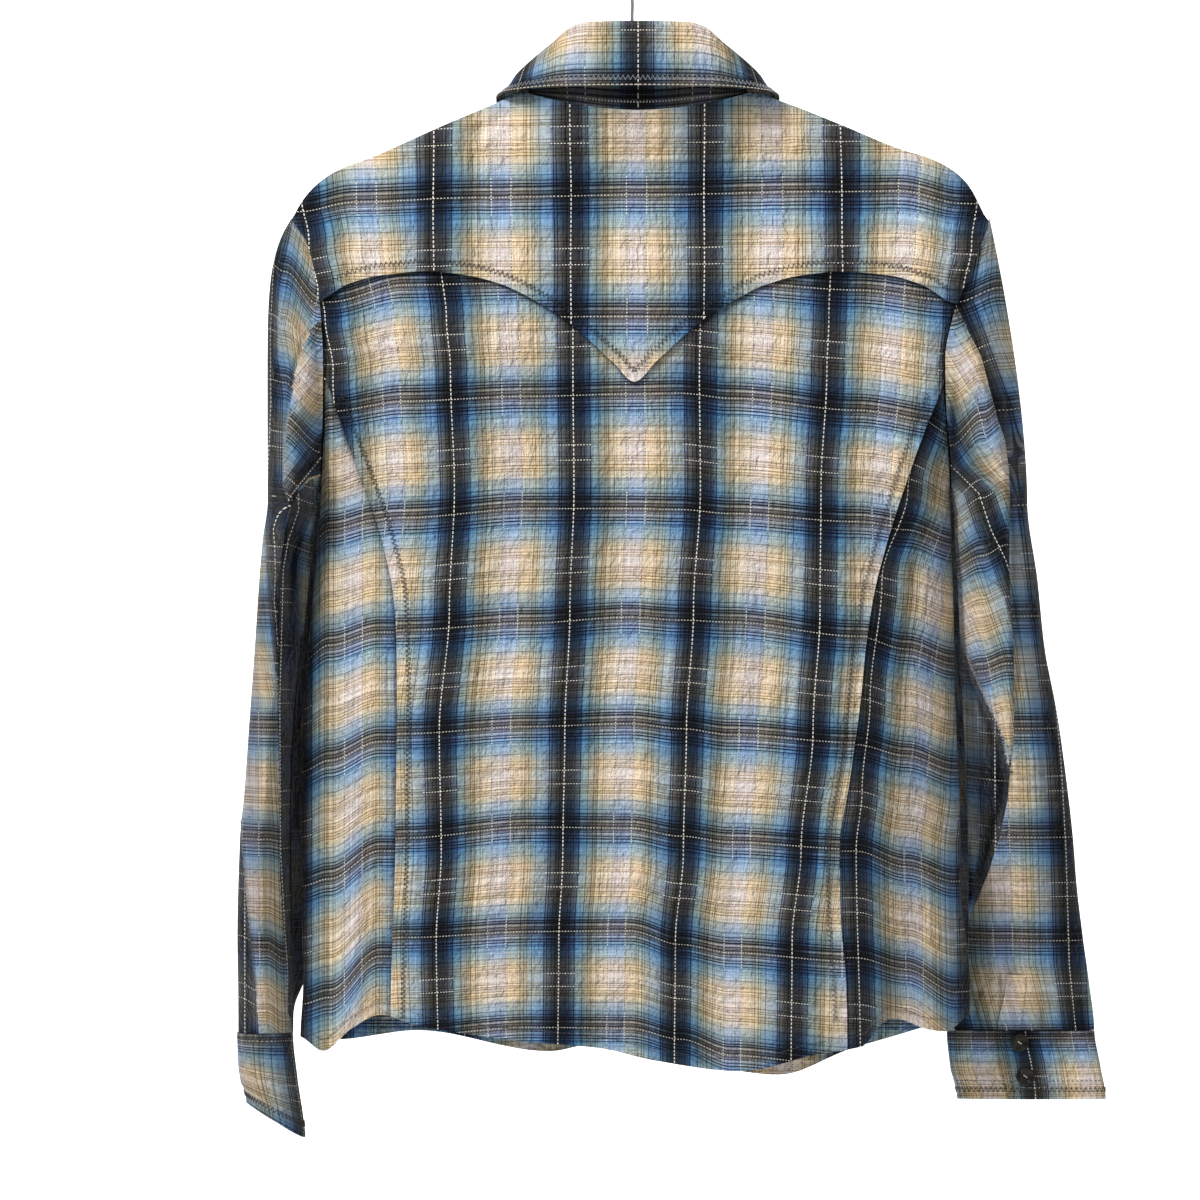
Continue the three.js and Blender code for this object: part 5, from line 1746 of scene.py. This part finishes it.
def make_placket(side):
    c, r = grid(*GRIDS["placket"])
    angle = math.radians(PLACKET_ANGLE[side]) + c * 2 * math.pi * PLACKET_ROUND
    points = sleeve_points(side, angle, 1 - (1 - r) * PLACKET_LENGTH)
    if side == "right":
        points[..., 1] += sleeve_relief(side, points, angle)
    facing = -1 if side == "left" else 1
    px, py = pixels(points)
    grain = seen_grain(px, py, SLEEVE_UPRIGHTS[side], SLEEVE_LEVELS[side], PLACKET_SHIFT)
    piece = cloth_piece(
        "placket_%s_cloth" % side, points, grain, facing=facing, lift=PLACKET_LIFT,
        thick=PLACKET_THICK,
    )
    return place_piece(piece, "plaid_cotton", "placket_" + side)


def cuff_grain(side, points, turned):
    """Eases the cloth so that the cuff's back shows the dark upright where the photo does, and the
    layer below it the light middle of the plaid."""
    half = len(points) // 2
    row = points[half]
    lengths = round_lengths(points)[half]
    across = pixel_x(row[:, 0])
    on_back = row[:, 1] > (row[:, 1].max() + row[:, 1].min()) / 2
    under = turned[half] > CUFF_UNDER

    def nearest(place, allowed):
        return np.argmin(np.abs(across - place) + np.where(allowed, 0, 1000))

    dark = nearest(CUFF_DARK[side], on_back & ~under)
    light = nearest(CUFF_LIGHT[side], on_back & under)
    grain = plain_grain(points, lengths[len(lengths) // 2] - lengths[dark], 0)
    repeats = (lengths[light] - lengths[dark]) / WARP_REPEAT
    ease = (round(repeats - 0.5) + 0.5) / repeats
    grain[..., 0] *= ease if side == "left" else -ease
    grain[..., 1] = grain[..., 1] * CUFF_EASE - CUFF_LEVEL
    return grain


def make_cuff(side):
    c, r = grid(*GRIDS["cuff"])
    turned = c * (360 + cuff_degrees(side, CUFF_OVERLAP))
    points = cuff_points(side, turned, r)
    grain = cuff_grain(side, points, turned)
    ripple = CUFF_RIPPLE * np.sin(turned / CUFF_RIPPLE_TURN) * (1 - smooth(r / 0.45))
    normal = normals_of(points) * -1
    points = points + normal * ripple[..., None]
    # Painted shade in the gathers at the cuff's top, and over the left cuff.
    painted_shade = CUFF_TOP_PAINTED_SHADE * (1 - smooth(r / 0.3)) * (0.75 + 0.25 * np.sin(turned / 6))
    painted_shade = np.maximum(painted_shade, CUFF_PAINTED_SHADE[side])
    piece = cloth_piece("cuff_%s_cloth" % side, points, grain, facing=-1, thick=CUFF_THICK, painted_shade=painted_shade)
    out = facing_out(points, normal)
    runs = []
    for row in CUFF_STITCH_ROWS:
        runs += run_stitches(grid_line(points, normal, row, 0.1, 0.01, 0.97), out)
    end = grid_line(points.swapaxes(0, 1), normal.swapaxes(0, 1), CUFF_END_ROW, 0.1)
    sew("cuff_%s_stitches" % side, runs + run_stitches(end, out), grey_thread)
    line = grid_line(points, normal, CUFF_ZIGZAG_ROW, 0.15, 0.01, 0.97)
    sew("cuff_%s_zigzag" % side, zigzag(line, out), brown_thread)
    return place_piece(piece, "plaid_cotton", "cuff_" + side)


# Buttons

def turned_on(profile, place, normal, sides=40):
    """Vertices and faces of a turned shape that stands on a place along a normal."""
    normal = normal / np.linalg.norm(normal)
    side = np.cross(normal, [0, 0, 1.0])
    side /= np.linalg.norm(side)
    up = np.cross(side, normal)
    verts = [place + normal * profile[0][1]]
    for radius, height in profile[1:-1]:
        for k in range(sides):
            turn = 2 * math.pi * k / sides
            out = side * math.cos(turn) + up * math.sin(turn)
            verts.append(place + normal * height + radius * out)
    verts.append(place + normal * profile[-1][1])
    faces = []
    rings = len(profile) - 2
    for k in range(sides):
        n = (k + 1) % sides
        faces.append((0, 1 + n, 1 + k))
        for j in range(rings - 1):
            a = 1 + j * sides
            faces.append((a + k, a + n, a + sides + n, a + sides + k))
        a = 1 + (rings - 1) * sides
        faces.append((a + k, a + n, len(verts) - 1))
    return np.array(verts), faces, normal, side, up


def make_button(name, place, normal, turn=0.6):
    verts, faces, normal, side, up = turned_on(BUTTON_PROFILE, place, normal)
    piece = mesh_of(name + "_shape", [(verts, faces)], button_plastic, 40)
    place_piece(piece, "buttons", name)
    across = side * math.cos(turn) + up * math.sin(turn)
    holes = []
    threads = []
    for k in (-1, 1):
        hole = place + across * HOLE_OFF * k
        holes.append(turned_on(HOLE_PROFILE, hole, normal, 14)[:2])
        path = [hole + normal * 1.4, (hole + place) / 2 + normal * 2.0, place + normal * 2.1]
        threads.append(tube(path, 0.42, 6))
    rim = mesh_of(name + "_holes", holes, button_plastic, 40)
    place_piece(rim, "buttons")
    sew(name + "_thread", threads, cream_thread)


def make_cuff_buttons(side):
    turned = cuff_degrees(side, BUTTON_FROM_CUFF_EDGE[side])
    for k, row in enumerate(CUFF_BUTTON_ROWS):
        angle = np.array([turned - 1, turned, turned + 1])
        line = cuff_points(side, angle, np.full(3, row))
        down = cuff_points(side, np.full(2, turned), np.array([row - 0.02, row + 0.02]))
        normal = np.cross(down[1] - down[0], line[2] - line[0])
        normal /= np.linalg.norm(normal)
        make_button("cuff_button_%s_%d" % (side, k + 1), line[1] + normal * CUFF_BUTTON_LIFT, normal)


def make_front_buttons():
    for k in range(FRONT_BUTTONS):
        z = FRONT_BUTTON_TOP_Z - k * FRONT_BUTTON_PITCH
        ends = body_place(np.zeros(3), np.array([z + 6, z, z - 6]), -1)
        down = ends[2] - ends[0]
        normal = np.array([0, down[2], -down[1]])
        normal /= np.linalg.norm(normal)
        make_button("front_button_%d" % (k + 2), ends[1] + normal * FRONT_BUTTON_LIFT, normal)
    lo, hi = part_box("front_button_1")
    middle = (np.array(lo) + np.array(hi)) / 2 * 1000
    normal = np.array([0, -1, 0.07])
    normal /= np.linalg.norm(normal)
    make_button("front_button_1", middle - normal * BUTTON_THICK / 2, normal)


# Hanger

def smooth_path(points, steps):
    """A rounded line through points."""
    points = np.asarray(points, float)
    padded = np.vstack([2 * points[0] - points[1], points, 2 * points[-1] - points[-2]])
    out = []
    for k in range(len(points) - 1):
        p0, p1, p2, p3 = padded[k:k + 4]
        for t in np.linspace(0, 1, steps, endpoint=False):
            out.append(0.5 * (2 * p1 + (p2 - p0) * t + (2 * p0 - 5 * p1 + 4 * p2 - p3) * t * t
                              + (3 * p1 - p0 - 3 * p2 + p3) * t ** 3))
    out.append(points[-1])
    return np.array(out)


def hanger_z(x):
    return HANGER_NECK_Z - HANGER_SLOPE * abs(x) - HANGER_TILT * x


def hanger_side(side):
    """The wire from the hanger's neck out to its end and round below it; side is 1 or -1."""
    end = HANGER_REACH
    line = [(side * x, 0, hanger_z(side * x)) for x in (14, 40, 80, 120, 160, end - 8)]
    for out, down in ((0, 0), (4.5, 0.7), (1, 1.5), (-9, 1.75)):
        line.append((side * (end + out), 0, hanger_z(side * end) - HANGER_BEND * down))
    return line


def make_hanger():
    radius = HOOK_RADIUS + WIRE_RADIUS
    hook = []
    for degrees in np.arange(200, -36, -23.5):
        a = math.radians(degrees)
        hook.append((radius * math.cos(a), 0, radius * math.sin(a) - HOOK_RADIUS))
    for across, down in ((4, 1), (0, 8), (0, 20)):
        hook.append((STEM_X + across, 0, -HOOK_RADIUS * 2 - down))
    hook.append((STEM_X, 0, HANGER_NECK_Z - 1))
    top = [(STEM_X, 0, HANGER_NECK_Z + 2)]
    triangle = top + hanger_side(1) + hanger_side(-1)[::-1] + top
    turns = []
    for share in np.arange(60) / 60:
        a = share * 2 * math.pi * TWIST_TURNS
        x = STEM_X + TWIST_OFF * math.cos(a)
        turns.append((x, TWIST_OFF * math.sin(a), HANGER_NECK_Z + 3 + share * TWIST_RISE))
    parts = [
        tube(smooth_path(hook, 8), WIRE_RADIUS, 14),
        tube(smooth_path(triangle, 8), WIRE_RADIUS, 14),
        tube(turns, TWIST_RADIUS, 8),
    ]
    return place_piece(mesh_of("hanger_wire", parts, wire), "wire", "hanger")


# Seams and stitches on the back

def yoke_line(offset, lift):
    x = np.linspace(*YOKE_STITCH_ENDS, 300)
    z = yoke_edge_z(x)
    slope_x = np.gradient(x)
    slope_z = np.gradient(z)
    size = np.hypot(slope_x, slope_z)
    line = np.stack([x - slope_z / size * offset, z + slope_x / size * offset], axis=1)
    return back_line(line, lift)


def princess_line(side, offset, lift):
    z = np.linspace(*PRINCESS_STITCH_ENDS, 200)
    x = seam_x(side, z) + (-offset if side == "left" else offset)
    return back_line(np.stack([x, z], axis=1), lift)


def make_back_stitches():
    parts = zigzag(yoke_line(SEAM_ZIGZAG, YOKE_LIFT + 0.3), back_out)
    for side in ("left", "right"):
        parts += zigzag(princess_line(side, SEAM_ZIGZAG, 1.35), back_out)
    sew("back_zigzag", parts, grey_thread)
    x = np.linspace(*HEM_STITCH_ENDS, 240)
    hem = back_line(np.stack([x, look(BACK_HEM, 1, x) + HEM_STITCH], axis=1), 0.25)
    sew("hem_stitches", run_stitches(hem, back_out), grey_thread)


def make_stage():
    stage = stage_material()
    left, right = -STAGE_SIDE, STAGE_SIDE
    back, front = STAGE_BACK, STAGE_FRONT
    low, top = STAGE_FLOOR, STAGE_TOP
    for name, points in (
        ("floor", ((left, back, low), (right, back, low), (right, front, low), (left, front, low))),
        ("backdrop", ((left, back, low), (right, back, low), (right, back, top), (left, back, top))),
    ):
        mesh = bpy.data.meshes.new(name)
        mesh.from_pydata(points, [], [(0, 1, 2, 3)])
        mesh.materials.append(stage)
        piece = bpy.data.objects.new(name, mesh)
        bpy.context.collection.objects.link(piece)


def add_light(name, place, size, power, target):
    data = bpy.data.lights.new(name, "AREA")
    data.shape = "SQUARE"
    data.size = size
    data.energy = power
    light = bpy.data.objects.new(name, data)
    light.location = place
    towards = Vector(target) - Vector(place)
    light.rotation_euler = towards.to_track_quat("-Z", "Y").to_euler()
    bpy.context.collection.objects.link(light)


def make_lights():
    for light in LIGHTS:
        add_light(*light)
    world = bpy.data.worlds.new("Studio")
    bpy.context.scene.world = world
    world.use_nodes = True
    background = world.node_tree.nodes["Background"]
    background.inputs["Color"].default_value = (1, 1, 1, 1)
    background.inputs["Strength"].default_value = WORLD_LIGHT


def make_camera():
    x, z = spot(PHOTO_SIZE / 2, PHOTO_SIZE / 2)
    data = bpy.data.cameras.new("camera")
    data.sensor_width = 36
    data.lens = 36 * CAMERA_DISTANCE / (PHOTO_SIZE * PIXEL)
    data.clip_end = 50
    camera = bpy.data.objects.new("camera", data)
    camera.location = (x / 1000, CAMERA_DISTANCE / 1000, z / 1000)
    camera.rotation_euler = (math.pi / 2, 0, math.pi)
    bpy.context.collection.objects.link(camera)
    bpy.context.scene.camera = camera


make_camera()
make_lights()
make_stage()

make_yoke()
make_centre_back()
for side in ("left", "right"):
    make_side_back(side)
    make_front(side)
    make_sleeve(side)
    make_placket(side)
    make_cuff(side)
    make_cuff_buttons(side)
make_band()
make_stand()
make_fall()
make_front_buttons()
make_hanger()
make_back_stitches()

bpy.context.scene.view_settings.view_transform = "Standard"
